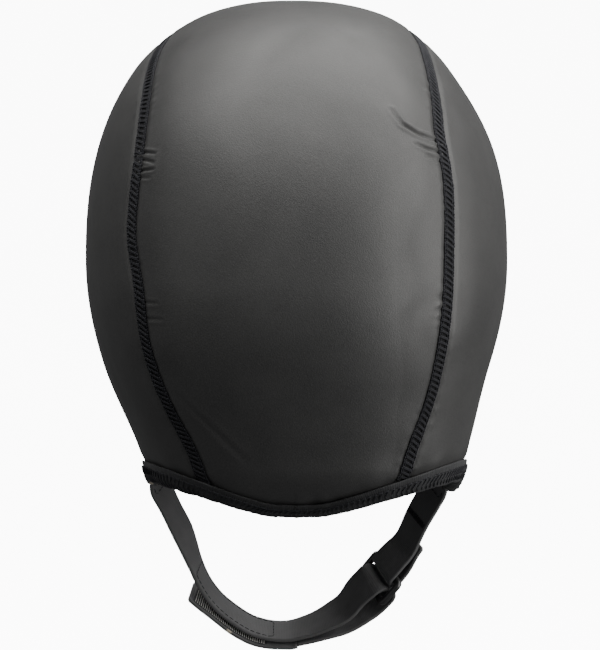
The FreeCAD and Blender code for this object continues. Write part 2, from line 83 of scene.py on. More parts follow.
def smooth(knots, at):
    """Smooth curve through (position, value) knots, read at one or many positions."""
    place, value = np.array(knots, float).T
    at = np.asarray(at, float)
    slope = np.gradient(value, place)
    slope[1:-1] = (value[2:] - value[:-2]) / (place[2:] - place[:-2])
    k = np.clip(np.searchsorted(place, at, side="left") - 1, 0, len(place) - 2)
    step = place[k + 1] - place[k]
    f = (at - place[k]) / step
    ahead = f * f * (3 - 2 * f)
    return (value[k] * (1 - ahead) + value[k + 1] * ahead
            + step * slope[k] * f * (1 - f) ** 2 - step * slope[k + 1] * f * f * (1 - f))


def level(p):
    """Below 1 inside the head form, above 1 outside it."""
    x, y, z = p[..., 0], p[..., 1], p[..., 2]
    fall = np.clip((WIDEST_Z - z) / LOWER_SPAN, 0, FULL_DRAW)
    draw = 1 - np.cos(np.pi * fall / FULL_DRAW)
    tuck = np.maximum((TUCK_TOP - z) / TUCK_SPAN, 0) ** 2
    wide = HALF_WIDTH - SIDE_DRAW * draw
    back = BACK_REACH - NAPE_DRAW * draw - NAPE_TUCK * tuck
    deep = np.where(y < 0, FRONT_REACH - CHEEK_DRAW * draw, np.maximum(back, 5))
    above = np.maximum(z - WIDEST_Z, 0) / CROWN_RISE
    low = np.clip((LEAN_TOP - z) / LEAN_SPAN, 0, 1)
    x = x + LOW_LEAN * low * low * (3 - 2 * low)
    soft = np.exp(-((z - SOFT_SHOULDER_Z) / 26) ** 2) * np.clip(-x / 40, 0, 1)
    wide = wide * (1 - 0.05 * soft)
    return (np.abs(x) / wide) ** SQUARENESS + (np.abs(y) / deep) ** SQUARENESS + above ** SQUARENESS


def reach(start, heading):
    """Where lines from start along heading leave the head form."""
    near = np.zeros(heading.shape[:-1])
    far = np.full(heading.shape[:-1], 260.0)
    for _ in range(32):
        middle = (near + far) / 2
        inside = level(start + heading * middle[..., None]) < 1
        near = np.where(inside, middle, near)
        far = np.where(inside, far, middle)
    return start + heading * near[..., None]


def unit(v):
    return v / np.maximum(np.linalg.norm(v, axis=-1, keepdims=True), 1e-12)


def onto_surface(p):
    return reach(CENTRE, unit(p - CENTRE))


def outward(p):
    """Unit normals of the head form."""
    steps = np.eye(3) * 0.05
    return unit(np.stack([level(p + step) - level(p - step) for step in steps], axis=-1))


def hem_points(side, angles):
    flat = np.radians(angles)
    heading = np.stack([SIDE_SIGN[side] * np.sin(flat), np.cos(flat), np.zeros_like(flat)], axis=-1)
    start = np.stack([np.zeros_like(flat), np.zeros_like(flat), smooth(HEM_HEIGHT[side], angles)], axis=-1)
    return reach(start, heading)


def seam_points(side, angles, shift=0.0):
    turn = np.radians(angles)
    across = SIDE_SIGN[side] * (smooth(SEAM_REACH[side], angles) + shift)
    start = np.stack([across, np.zeros_like(across), np.full_like(across, WIDEST_Z)], axis=-1)
    return reach(start, np.stack([np.zeros_like(turn), np.cos(turn), np.sin(turn)], axis=-1))


def angle_round(p):
    return np.degrees(np.arctan2(np.abs(p[..., 0]), p[..., 1]))


def seam_span(side):
    """Seam angles at which the seam meets the hem, at the nape and at the forehead."""
    ends = []
    for start, stop in ((-65.0, -20.0), (178.0, 130.0)):
        for _ in range(30):
            middle = (start + stop) / 2
            p = seam_points(side, np.array([middle]))[0]
            below = p[2] < smooth(HEM_HEIGHT[side], angle_round(p))
            start, stop = (middle, stop) if below else (start, middle)
        ends.append(middle)
    return ends


def spread(points, count, margin=0.0, share=None):
    """Points along a line of points, evenly spaced or at the given shares of it."""
    run = np.concatenate([[0], np.cumsum(np.linalg.norm(np.diff(points, axis=0), axis=1))])
    share = np.linspace(0, 1, count) if share is None else share
    at = margin + share * (run[-1] - 2 * margin)
    return np.stack([np.interp(at, run, points[:, k]) for k in range(3)], axis=-1)


def line_length(points):
    return float(np.linalg.norm(np.diff(points, axis=0), axis=1).sum())


SEAM_SPANS = {side: seam_span(side) for side in SIDE_SIGN}


def seam_line(side, shift=0.0):
    return seam_points(side, np.linspace(*SEAM_SPANS[side], 700), shift)


def hem_line(side, start, stop):
    return hem_points(side, np.linspace(start, stop, 500))


def raised(points, tall):
    """Hem points moved up the surface, square to the hem line."""
    forward = np.gradient(points, axis=0)
    up = unit(np.cross(outward(points), forward))
    up = np.where(up[:, 2:] < 0, -up, up)
    return onto_surface(points + up * tall)


def patch(bottom, top, start, stop):
    """Four-sided grid of surface points between its edge lines."""
    run = np.concatenate([[0], np.cumsum(np.linalg.norm(np.diff(bottom, axis=0), axis=1))])
    u = (run / run[-1])[:, None, None]
    v = np.linspace(0, 1, len(start))[None, :, None]
    corners = (bottom[0] * ((1 - u) * (1 - v)) + bottom[-1] * (u * (1 - v))
               + top[0] * ((1 - u) * v) + top[-1] * (u * v))
    return onto_surface(bottom[:, None] * (1 - v) + top[:, None] * v
                        + start[None] * (1 - u) + stop[None] * u - corners)


# ---------------------------------------------------------------- relief of the sewn panels

# Creases on the back, as (x, height) points with a depth and a half width in millimetres.
CREASES = [
    ([(-37.6, -34.0), (-41.6, -39.6), (-47.4, -43.4), (-56.5, -46.9)], 1.15, 0.75),
    ([(-46.6, -47.0), (-51.0, -49.2), (-56.8, -51.0)], 0.95, 0.65),
    ([(-50.6, -51.8), (-57.0, -54.4)], 0.45, 0.7),
    ([(63.5, -51.0), (55.0, -51.2)], 0.75, 0.5),
    ([(63.5, -53.6), (55.6, -54.6)], 0.70, 0.5),
    ([(63.5, -58.6), (55.8, -57.2)], 0.75, 0.5),
    ([(63.0, -61.0), (57.2, -60.6)], 0.30, 0.5),
    ([(61.2, -109.5), (54.4, -109.2)], 0.34, 0.55),
    ([(60.6, -116.0), (52.6, -115.6)], 0.28, 0.6),
    ([(46.2, -147.0), (32.6, -160.0), (20.2, -172.5)], 0.26, 1.3),
]


def crease_line(points):
    """A crease's points on the back of the head form, close together."""
    x, z = spread(np.array([(px, 0.0, pz) for px, pz in points]), 40).T[[0, 2]]
    start = np.stack([x, np.zeros_like(x), z], axis=-1)
    return reach(start, np.tile([0.0, 1.0, 0.0], (len(x), 1)))


def nearest(points, line):
    """Distance from each point to a line of points, and how far along the line that is."""
    flat = points.reshape(-1, 3)
    distance = np.empty(len(flat))
    index = np.empty(len(flat), int)
    for first in range(0, len(flat), 4000):
        gap = np.linalg.norm(flat[first:first + 4000, None] - line[None], axis=2)
        index[first:first + 4000] = gap.argmin(axis=1)
        distance[first:first + 4000] = gap.min(axis=1)
    shape = points.shape[:-1]
    return distance.reshape(shape), index.reshape(shape)


def waves(at, pitch, seed):
    """A few sine waves of nearby pitches, for unevenness that never repeats exactly."""
    rng = np.random.default_rng(seed)
    total = np.zeros_like(at)
    for _ in range(5):
        total += np.sin(at * (2 * np.pi / (pitch * rng.uniform(0.7, 1.5))) + rng.uniform(0, 7))
    return total / 2.5


def hem_ring(count=900):
    """The whole lower edge, from the nape round the wearer's left and back."""
    left = spread(hem_line("left", 0, 180), count // 2)
    right = spread(hem_line("right", 0, 180), count // 2)
    return np.concatenate([left, right[::-1][1:-1]])


HEM_RING = hem_ring()


def relief(p, seams=("left", "right")):
    """How far the outside of the cap stands off the head form, in millimetres."""
    height = np.zeros(p.shape[:-1])
    for number, side in enumerate(seams):
        line = spread(seam_line(side), 480)
        away, index = nearest(p, line)
        along = index * line_length(line) / 479
        clear = np.maximum(away - SEAM_HALF, 0)
        height -= 0.60 * np.exp(-(clear / 1.1) ** 2)
        height += 0.22 * np.exp(-((away - 15) / 8) ** 2)
        gather = np.clip(waves(along, 46, 11 + number), 0, 1.4) + 0.25
        height += 0.20 * gather * waves(along, 4.6, 31 + number) * np.exp(-((away - 4.0) / 2.6) ** 2)
        height += 0.16 * waves(along, 26, 51 + number) * np.exp(-((away - 9) / 7) ** 2)
    away, index = nearest(p, HEM_RING)
    along = index * line_length(HEM_RING) / len(HEM_RING)
    clear = np.maximum(away - HEM_TALL, 0)
    height -= 0.5 * np.exp(-(clear / 2.6) ** 2)
    height += 0.22 * waves(along, 12, 71) * np.exp(-((away - HEM_TALL - 2) / 4.5) ** 2)
    for points, depth, half in CREASES:
        line = crease_line(points)
        away, index = nearest(p, line)
        fade = np.sin(np.pi * (index + 3) / (len(line) + 5)) ** 0.6
        dip = np.exp(-(away / half) ** 2) - 0.55 * np.exp(-((away - 2.1 * half) / (1.1 * half)) ** 2)
        height -= depth * fade * dip
    broad = np.sin(p[..., 0] / 23 + 0.6) * np.sin(p[..., 2] / 31 + 1.1) + 0.6 * np.sin((p[..., 0] - p[..., 2]) / 37)
    return height + 0.22 * broad


# ---------------------------------------------------------------- mesh helpers


def new_object(name, verts, faces, material, uv=None, smooth_faces=True):
    """A mesh object at the origin, from millimetre vertices, with its faces pointing outwards."""
    mesh = bpy.data.meshes.new(name)
    mesh.from_pydata((np.asarray(verts, float) * MM).tolist(), [], faces)
    if uv is not None:
        layer = mesh.uv_layers.new(name="flat")
        corners = np.empty(len(mesh.loops), int)
        mesh.loops.foreach_get("vertex_index", corners)
        layer.data.foreach_set("uv", np.asarray(uv, float)[corners].ravel())
    work = bmesh.new()
    work.from_mesh(mesh)
    bmesh.ops.recalc_face_normals(work, faces=work.faces)
    work.to_mesh(mesh)
    work.free()
    mesh.polygons.foreach_set("use_smooth", [smooth_faces] * len(mesh.polygons))
    mesh.materials.append(material)
    thing = bpy.data.objects.new(name, mesh)
    bpy.context.scene.collection.objects.link(thing)
    return thing


def grid_faces(rows, columns, first=0, closed=False):
    """Quads of a grid of vertices numbered row by row; closed joins the last column to the first."""
    faces = []
    for i in range(rows - 1):
        for j in range(columns if closed else columns - 1):
            k = (j + 1) % columns
            faces.append((first + i * columns + j, first + i * columns + k,
                          first + (i + 1) * columns + k, first + (i + 1) * columns + j))
    return faces


def grid_uv(grid):
    """Lengths along and across a grid, in metres, for patterns that follow the cloth."""
    along = np.concatenate([[0], np.cumsum(np.linalg.norm(np.diff(grid[:, grid.shape[1] // 2], axis=0), axis=1))])
    across = np.concatenate([[0], np.cumsum(np.linalg.norm(np.diff(grid[grid.shape[0] // 2], axis=0), axis=1))])
    u, v = np.meshgrid(along, across, indexing="ij")
    return np.stack([u, v], axis=-1).reshape(-1, 2) * MM


def slab(name, over, under, material):
    """Closed piece between two grids of points."""
    rows, columns = over.shape[:2]
    count = rows * columns
    faces = grid_faces(rows, columns)
    faces += [face[::-1] for face in grid_faces(rows, columns, count)]
    rim = [j for j in range(columns)]
    rim += [i * columns + columns - 1 for i in range(1, rows)]
    rim += [(rows - 1) * columns + j for j in range(columns - 2, -1, -1)]
    rim += [i * columns for i in range(rows - 2, 0, -1)]
    for a, b in zip(rim, rim[1:] + rim[:1]):
        faces.append((a, b, b + count, a + count))
    verts = np.concatenate([over.reshape(-1, 3), under.reshape(-1, 3)])
    return new_object(name, verts, faces, material, np.tile(grid_uv(over), (2, 1)))


def stand_for(piece, body, slot, *nodes):
    """The piece rides on a body and replaces its plain CAD solids."""
    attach(piece, body)
    if nodes:
        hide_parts(*nodes)
    return piece


# ---------------------------------------------------------------- material building blocks


def tree_of(name):
    material = bpy.data.materials.new(name)
    material.use_nodes = True
    nodes, links = material.node_tree.nodes, material.node_tree.links
    return material, nodes, links, nodes["Principled BSDF"]


def put(nodes, kind, **settings):
    """A node with its plain settings and, by name, its input values."""
    node = nodes.new(kind)
    inputs = settings.pop("inputs", {})
    for key, value in settings.items():
        setattr(node, key, value)
    for key, value in inputs.items():
        node.inputs[key].default_value = value
    return node


def group_with(name, inputs, outputs):
    group = bpy.data.node_groups.new(name, "ShaderNodeTree")
    for label, kind, value in inputs:
        socket = group.interface.new_socket(label, in_out="INPUT", socket_type=kind)
        if value is not None:
            socket.default_value = value
    for label, kind in outputs:
        group.interface.new_socket(label, in_out="OUTPUT", socket_type=kind)
    return group, group.nodes.new("NodeGroupInput"), group.nodes.new("NodeGroupOutput")


def fine_grain_group():
    """Even speckle and slow cloudiness of a moulded or knitted face, as two 0 to 1 masks."""
    group, entry, out = group_with(
        "fine_grain", [("Position", "NodeSocketVector", None), ("Grain", "NodeSocketFloat", 3200.0),
                       ("Cloud", "NodeSocketFloat", 90.0)],
        [("Grain", "NodeSocketFloat"), ("Cloud", "NodeSocketFloat")])
    nodes, links = group.nodes, group.links
    for label, detail in (("Grain", 3.0), ("Cloud", 4.0)):
        noise = put(nodes, "ShaderNodeTexNoise", inputs={"Detail": detail, "Roughness": 0.6})
        links.new(entry.outputs["Position"], noise.inputs["Vector"])
        links.new(entry.outputs[label], noise.inputs["Scale"])
        links.new(noise.outputs["Fac"], out.inputs[label])
    return group


def knit_group():
    """Columns of small loops across a flat pattern: a height and a mask between the loops."""
    group, entry, out = group_with(
        "knit_columns", [("Flat", "NodeSocketVector", None), ("Columns", "NodeSocketFloat", 1100.0),
                         ("Rows", "NodeSocketFloat", 1500.0)], [("Height", "NodeSocketFloat")])
    nodes, links = group.nodes, group.links
    split = put(nodes, "ShaderNodeSeparateXYZ")
    links.new(entry.outputs["Flat"], split.inputs[0])
    parts = []
    for axis, count, shift in (("X", "Columns", 0.0), ("Y", "Rows", 0.0)):
        turn = put(nodes, "ShaderNodeMath", operation="MULTIPLY")
        links.new(split.outputs[axis], turn.inputs[0])
        links.new(entry.outputs[count], turn.inputs[1])
        whole = put(nodes, "ShaderNodeMath", operation="MULTIPLY_ADD")
        whole.inputs[1].default_value = math.tau
        whole.inputs[2].default_value = shift
        links.new(turn.outputs[0], whole.inputs[0])
        parts.append(whole)
    columns = put(nodes, "ShaderNodeMath", operation="COSINE")
    links.new(parts[0].outputs[0], columns.inputs[0])
    lean = put(nodes, "ShaderNodeMath", operation="MULTIPLY_ADD")
    lean.inputs[1].default_value = 1.1
    links.new(columns.outputs[0], lean.inputs[0])
    links.new(parts[1].outputs[0], lean.inputs[2])
    rows = put(nodes, "ShaderNodeMath", operation="COSINE")
    links.new(lean.outputs[0], rows.inputs[0])
    height = put(nodes, "ShaderNodeMath", operation="MULTIPLY_ADD")
    height.inputs[1].default_value = 0.5
    links.new(rows.outputs[0], height.inputs[0])
    links.new(columns.outputs[0], height.inputs[2])
    even = put(nodes, "ShaderNodeMapRange", inputs={"From Min": -1.5, "From Max": 1.5})
    links.new(height.outputs[0], even.inputs["Value"])
    links.new(even.outputs["Result"], out.inputs["Height"])
    return group


FINE_GRAIN = fine_grain_group()
KNIT = knit_group()


def use_group(nodes, group, **values):
    node = nodes.new("ShaderNodeGroup")
    node.node_tree = group
    for key, value in values.items():
        node.inputs[key].default_value = value
    return node


def mixed(nodes, links, factor, low, high):
    """Colour between low and high by a mask; either may be a socket."""
    mix = put(nodes, "ShaderNodeMix", data_type="RGBA")
    links.new(factor, mix.inputs["Factor"])
    for socket, colour in ((mix.inputs["A"], low), (mix.inputs["B"], high)):
        if isinstance(colour, bpy.types.NodeSocket):
            links.new(colour, socket)
        else:
            socket.default_value = (*colour, 1)
    return mix.outputs["Result"]


def ranged(nodes, links, value, low, high, new_low=0.0, new_high=1.0):
    node = put(nodes, "ShaderNodeMapRange",
               inputs={"From Min": low, "From Max": high, "To Min": new_low, "To Max": new_high})
    links.new(value, node.inputs["Value"])
    return node.outputs["Result"]


def bumped(nodes, links, height, distance, strength=1.0, after=None):
    bump = put(nodes, "ShaderNodeBump", inputs={"Strength": strength, "Distance": distance})
    links.new(height, bump.inputs["Height"])
    if after is not None:
        links.new(after, bump.inputs["Normal"])
    return bump.outputs["Normal"]


def skin_material():
    """Smooth-skin neoprene: a satin rubber face with a very fine grain and faint handling marks."""
    material, nodes, links, shader = tree_of("smooth_skin_neoprene")
    place = put(nodes, "ShaderNodeTexCoord").outputs["Object"]
    grain = use_group(nodes, FINE_GRAIN, Grain=2300.0, Cloud=55.0)
    links.new(place, grain.inputs["Position"])
    pits = put(nodes, "ShaderNodeTexVoronoi", inputs={"Scale": 1500.0, "Randomness": 1.0})
    links.new(place, pits.inputs["Vector"])
    tone = ranged(nodes, links, grain.outputs["Cloud"], 0.3, 0.7)
    base = mixed(nodes, links, tone, (0.0155, 0.0155, 0.0158), (0.0235, 0.0233, 0.0232))
    speck = ranged(nodes, links, grain.outputs["Grain"], 0.35, 0.75)
    links.new(mixed(nodes, links, speck, base, (0.034, 0.034, 0.034)), shader.inputs["Base Color"])
    marks = put(nodes, "ShaderNodeTexNoise", inputs={"Scale": 22.0, "Detail": 5.0, "Distortion": 1.2})
    links.new(place, marks.inputs["Vector"])
    links.new(ranged(nodes, links, marks.outputs["Fac"], 0.3, 0.7, 0.47, 0.60), shader.inputs["Roughness"])
    soft = bumped(nodes, links, pits.outputs["Distance"], 0.00006, 0.45)
    links.new(bumped(nodes, links, grain.outputs["Grain"], 0.00009, 0.55, soft), shader.inputs["Normal"])
    shader.inputs["Specular IOR Level"].default_value = 0.5
    return material


def knit_material(name, low, high, columns, rows, depth, rough, sheen=0.25, edge=None):
    """Fine knit on a flat pattern, with fibre unevenness; edge is the colour of a cut edge, with a pale beige painted
    highlight along parts of it.
    """
    material, nodes, links, shader = tree_of(name)
    coordinates = put(nodes, "ShaderNodeTexCoord")
    knit = use_group(nodes, KNIT, Columns=columns, Rows=rows)
    links.new(coordinates.outputs["UV"], knit.inputs["Flat"])
    grain = use_group(nodes, FINE_GRAIN, Grain=2600.0, Cloud=120.0)
    links.new(coordinates.outputs["Object"], grain.inputs["Position"])
    base = mixed(nodes, links, knit.outputs["Height"], low, high)
    cloud = ranged(nodes, links, grain.outputs["Cloud"], 0.3, 0.7, 0.0, 0.45)
    base = mixed(nodes, links, cloud, base, tuple(1.7 * c for c in high))
    if edge is not None:
        cut = put(nodes, "ShaderNodeAttribute", attribute_name="edge").outputs["Fac"]
        uneven = put(nodes, "ShaderNodeMath", operation="MULTIPLY")
        links.new(cut, uneven.inputs[0])
        links.new(ranged(nodes, links, grain.outputs["Grain"], 0.3, 0.7, 0.55, 1.0), uneven.inputs[1])
        base = mixed(nodes, links, uneven.outputs[0], base, edge)
        # painted highlight: a pale beige line laid on the marked stretches of an edge, where it catches the light
        edge_highlight = put(nodes, "ShaderNodeAttribute", attribute_name="edge_highlight").outputs["Fac"]
        base = mixed(nodes, links, edge_highlight, base, (0.42, 0.37, 0.29))
    links.new(base, shader.inputs["Base Color"])
    links.new(ranged(nodes, links, grain.outputs["Cloud"], 0.3, 0.7, rough, rough + 0.12),
              shader.inputs["Roughness"])
    knitted = bumped(nodes, links, knit.outputs["Height"], depth, 0.8)
    links.new(bumped(nodes, links, grain.outputs["Grain"], depth * 0.6, 0.6, knitted), shader.inputs["Normal"])
    shader.inputs["Sheen Weight"].default_value = sheen
    shader.inputs["Sheen Roughness"].default_value = 0.5
    shader.inputs["Sheen Tint"].default_value = (0.55, 0.56, 0.58, 1)
    return material


def thread_material(name, low, high, rough=0.62):
    """Twisted textured-nylon thread: slanted plies along each thread and stray fibre specks."""
    material, nodes, links, shader = tree_of(name)
    coordinates = put(nodes, "ShaderNodeTexCoord")
    split = put(nodes, "ShaderNodeSeparateXYZ")
    links.new(coordinates.outputs["UV"], split.inputs[0])
    along = put(nodes, "ShaderNodeMath", operation="MULTIPLY_ADD")
    along.inputs[1].default_value = 1900.0
    links.new(split.outputs["X"], along.inputs[0])
    links.new(split.outputs["Y"], along.inputs[2])
    turn = put(nodes, "ShaderNodeMath", operation="MULTIPLY")
    turn.inputs[1].default_value = math.tau
    links.new(along.outputs[0], turn.inputs[0])
    ply = put(nodes, "ShaderNodeMath", operation="SINE")
    links.new(turn.outputs[0], ply.inputs[0])
    mask = ranged(nodes, links, ply.outputs[0], -1.0, 1.0)
    grain = use_group(nodes, FINE_GRAIN, Grain=5200.0, Cloud=160.0)
    links.new(coordinates.outputs["Object"], grain.inputs["Position"])
    base = mixed(nodes, links, mask, low, high)
    links.new(mixed(nodes, links, ranged(nodes, links, grain.outputs["Grain"], 0.45, 0.8, 0.0, 0.6), base,
                    tuple(2.2 * c for c in high)), shader.inputs["Base Color"])
    links.new(ranged(nodes, links, grain.outputs["Cloud"], 0.3, 0.7, rough, rough + 0.15),
              shader.inputs["Roughness"])
    links.new(bumped(nodes, links, mask, 0.00005, 0.8), shader.inputs["Normal"])
    shader.inputs["Sheen Weight"].default_value = 0.04
    shader.inputs["Specular IOR Level"].default_value = 0.22
    return material


def plastic_material(name, low, high, rough, grain_depth):
    """Moulded plastic with a faint tool texture and rubbed marks."""
    material, nodes, links, shader = tree_of(name)
    place = put(nodes, "ShaderNodeTexCoord").outputs["Object"]
    grain = use_group(nodes, FINE_GRAIN, Grain=1500.0, Cloud=210.0)
    links.new(place, grain.inputs["Position"])
    rubbed = put(nodes, "ShaderNodeTexNoise", inputs={"Scale": 420.0, "Detail": 6.0, "Roughness": 0.7})
    stretch = put(nodes, "ShaderNodeMapping", inputs={"Scale": (1.0, 0.12, 1.0)})
    links.new(place, stretch.inputs["Vector"])
    links.new(stretch.outputs["Vector"], rubbed.inputs["Vector"])
    tone = ranged(nodes, links, grain.outputs["Cloud"], 0.3, 0.7)
    links.new(mixed(nodes, links, tone, low, high), shader.inputs["Base Color"])
    links.new(ranged(nodes, links, rubbed.outputs["Fac"], 0.35, 0.7, rough, rough + 0.2),
              shader.inputs["Roughness"])
    worn = bumped(nodes, links, rubbed.outputs["Fac"], 0.00004, 0.5)
    links.new(bumped(nodes, links, grain.outputs["Grain"], grain_depth, 0.5, worn), shader.inputs["Normal"])
    return material


SKIN = skin_material()
JERSEY = knit_material("jersey_lining_knit", (0.008, 0.008, 0.009), (0.021, 0.021, 0.023), 900.0, 1250.0,
                       0.00013, 0.78, 0.3)
STRAP = knit_material("strap_jersey_face", (0.026, 0.026, 0.0275), (0.056, 0.056, 0.0585), 1500.0, 1900.0,
                      0.00006, 0.68, 0.12, edge=(0.050, 0.050, 0.051))
TAPE = knit_material("hem_tape_knit", (0.0026, 0.0027, 0.0033), (0.0078, 0.0081, 0.0094), 1300.0, 1100.0,
                     0.00011, 0.72, 0.08, edge=(0.030, 0.030, 0.031))
PILE = knit_material("loop_pile_fabric", (0.010, 0.010, 0.011), (0.028, 0.028, 0.030), 1700.0, 1700.0,
                     0.00008, 0.85, 0.5)
THREAD = thread_material("seam_thread_black", (0.0036, 0.0037, 0.0050), (0.0118, 0.0122, 0.0160))
# the seam bed's near-black colour is painted shade for the slots between the cover threads
SEAM_BED_SHADE = thread_material("seam_bed_painted_shade", (0.0020, 0.0020, 0.0025), (0.0050, 0.0052, 0.0062), 0.8)
HOOK_BASE = plastic_material("hook_tape_base", (0.016, 0.016, 0.017), (0.026, 0.026, 0.027), 0.45, 0.00005)
# near-white hooks: partly their pale nylon, partly a painted glint, made lighter because they sit in shadow
HOOKS_PALE_GLINT = plastic_material("moulded_hooks_pale_glint", (0.68, 0.67, 0.64), (0.82, 0.81, 0.78), 0.3, 0.00002)
RING = plastic_material("strap_ring_plastic", (0.010, 0.010, 0.0105), (0.020, 0.020, 0.021), 0.30, 0.00006)

# ---------------------------------------------------------------- panels and linings

PANEL_MARGIN = 1.0       # the panels end this far above the hem's lower edge, inside its fold
SEAM_GAP = 0.15


def hem_spread(side, start, stop, count):
    return raised(spread(hem_line(side, start, stop), count), PANEL_MARGIN)


def snapped(points, first, last):
    return np.concatenate([first[None], points[1:-1], last[None]])


def eased(points, crowd):
    """The same line with its points crowded towards both ends, or towards its end only."""
    run = np.linspace(0, 1, len(points))
    turn = {"both": 0.5 - 0.5 * np.cos(np.pi * run), "end": np.sin(np.pi / 2 * run)}[crowd]
    at = 0.45 * run + 0.55 * turn
    return np.stack([np.interp(at, run, points[:, k]) for k in range(3)], axis=-1)


def crowded(count):
    """Shares of the way from the nape to the forehead, closer together where the skin is creased."""
    place = np.linspace(0, 1, 2000)
    dense = 1 + 2.2 * ((place > 0.36) & (place < 0.50)) + 1.0 * ((place > 0.20) & (place < 0.29))
    passed = np.cumsum(dense) - dense[0]
    return np.interp(np.linspace(0, passed[-1], count), passed, place)


def side_grid(side, along, across):
    top = spread(seam_line(side, SEAM_GAP), along, PANEL_MARGIN)
    nape, brow = float(angle_round(top[0])), float(angle_round(top[-1]))
    bottom = hem_spread(side, FLAP_BACK_ANGLE, FLAP_FRONT_ANGLE, along)
    back = eased(snapped(hem_spread(side, FLAP_BACK_ANGLE, nape, across), bottom[0], top[0]), "end")
    front = eased(snapped(hem_spread(side, FLAP_FRONT_ANGLE, brow, across), bottom[-1], top[-1]), "end")
    return patch(bottom, top, back, front)


def centre_grid(along, across):
    left = spread(seam_line("left", -SEAM_GAP), along, PANEL_MARGIN, crowded(along))
    right = spread(seam_line("right", -SEAM_GAP), along, PANEL_MARGIN, crowded(along))
    edges = []
    for end, middle in ((0, 0), (-1, 180)):
        half = (across + 1) // 2
        from_left = hem_spread("left", float(angle_round(left[end])), middle, half)
        from_right = hem_spread("right", float(angle_round(right[end])), middle, half)
        whole = np.concatenate([from_left[:-1], from_right[::-1]])
        edges.append(eased(snapped(whole, left[end], right[end]), "both"))
    return patch(left, right, edges[0], edges[1])


def offset_grid(grid, height):
    height = np.broadcast_to(height, grid.shape[:-1])
    return grid + outward(grid) * height[..., None]


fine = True
GRIDS = {
    "centre": centre_grid(401 if fine else 281, 123 if fine else 91),
    "left": side_grid("left", 301 if fine else 181, 91 if fine else 61),
    "right": side_grid("right", 301 if fine else 181, 91 if fine else 61),
}
for place, grid in GRIDS.items():
    shape = relief(grid, ("left", "right") if place == "centre" else (place,))
    foam = slab(f"{place}_foam_panel", offset_grid(grid, shape), offset_grid(grid, -FOAM + 0.02), SKIN)
    stand_for(foam, "cap", "smooth_skin", f"{place}_panel")

for place in GRIDS:
    grid = centre_grid(141, 61) if place == "centre" else side_grid(place, 121, 45)
    ripple = 0.05 * waves(grid[..., 0], 17, 5) * np.sin(grid[..., 2] / 9)
    inner = offset_grid(grid, -LINED + ripple)
    lining = slab(f"{place}_jersey", offset_grid(grid, -FOAM - 0.02), inner, JERSEY)
    stand_for(lining, "cap", "jersey_lining", f"{place}_lining")

# ---------------------------------------------------------------- threads


def tube(points, radius, sides=5):
    """Closed thread through points: vertices, faces and a (length along, turn round) pattern."""
    points = np.asarray(points, float)
    ahead = unit(np.gradient(points, axis=0))
    up = np.tile([0.0, 0.0, 1.0], (len(points), 1))
    beside = unit(np.cross(up, ahead) + 1e-9)
    up = np.cross(ahead, beside)
    run = np.concatenate([[0], np.cumsum(np.linalg.norm(np.diff(points, axis=0), axis=1))])
    turn = np.linspace(0, 2 * np.pi, sides, endpoint=False)
    ring = beside[:, None] * np.cos(turn)[None, :, None] + up[:, None] * np.sin(turn)[None, :, None]
    size = np.full(len(points), radius)
    size[[0, -1]] *= 0.55
    verts = (points[:, None] + ring * size[:, None, None]).reshape(-1, 3)
    faces = grid_faces(len(points), sides, closed=True)
    faces.append(tuple(range(sides)))
    faces.append(tuple(range(len(verts) - 1, len(verts) - 1 - sides, -1)))
    uv = np.stack([np.repeat(run, sides) * MM, np.tile(turn / (2 * np.pi), len(points))], axis=-1)
    return verts, faces, uv


def cell_of(name, threads):
    """Hidden pattern piece made of several threads, given as (points, radius, sides)."""
    verts, faces, uv = [], [], []
    count = 0
    for points, radius, sides in threads:
        v, f, t = tube(points, radius, sides)
        verts.append(v)
        uv.append(t)
        faces += [tuple(k + count for k in face) for face in f]
        count += len(v)
    return new_object(name, np.concatenate(verts), faces, THREAD, np.concatenate(uv))


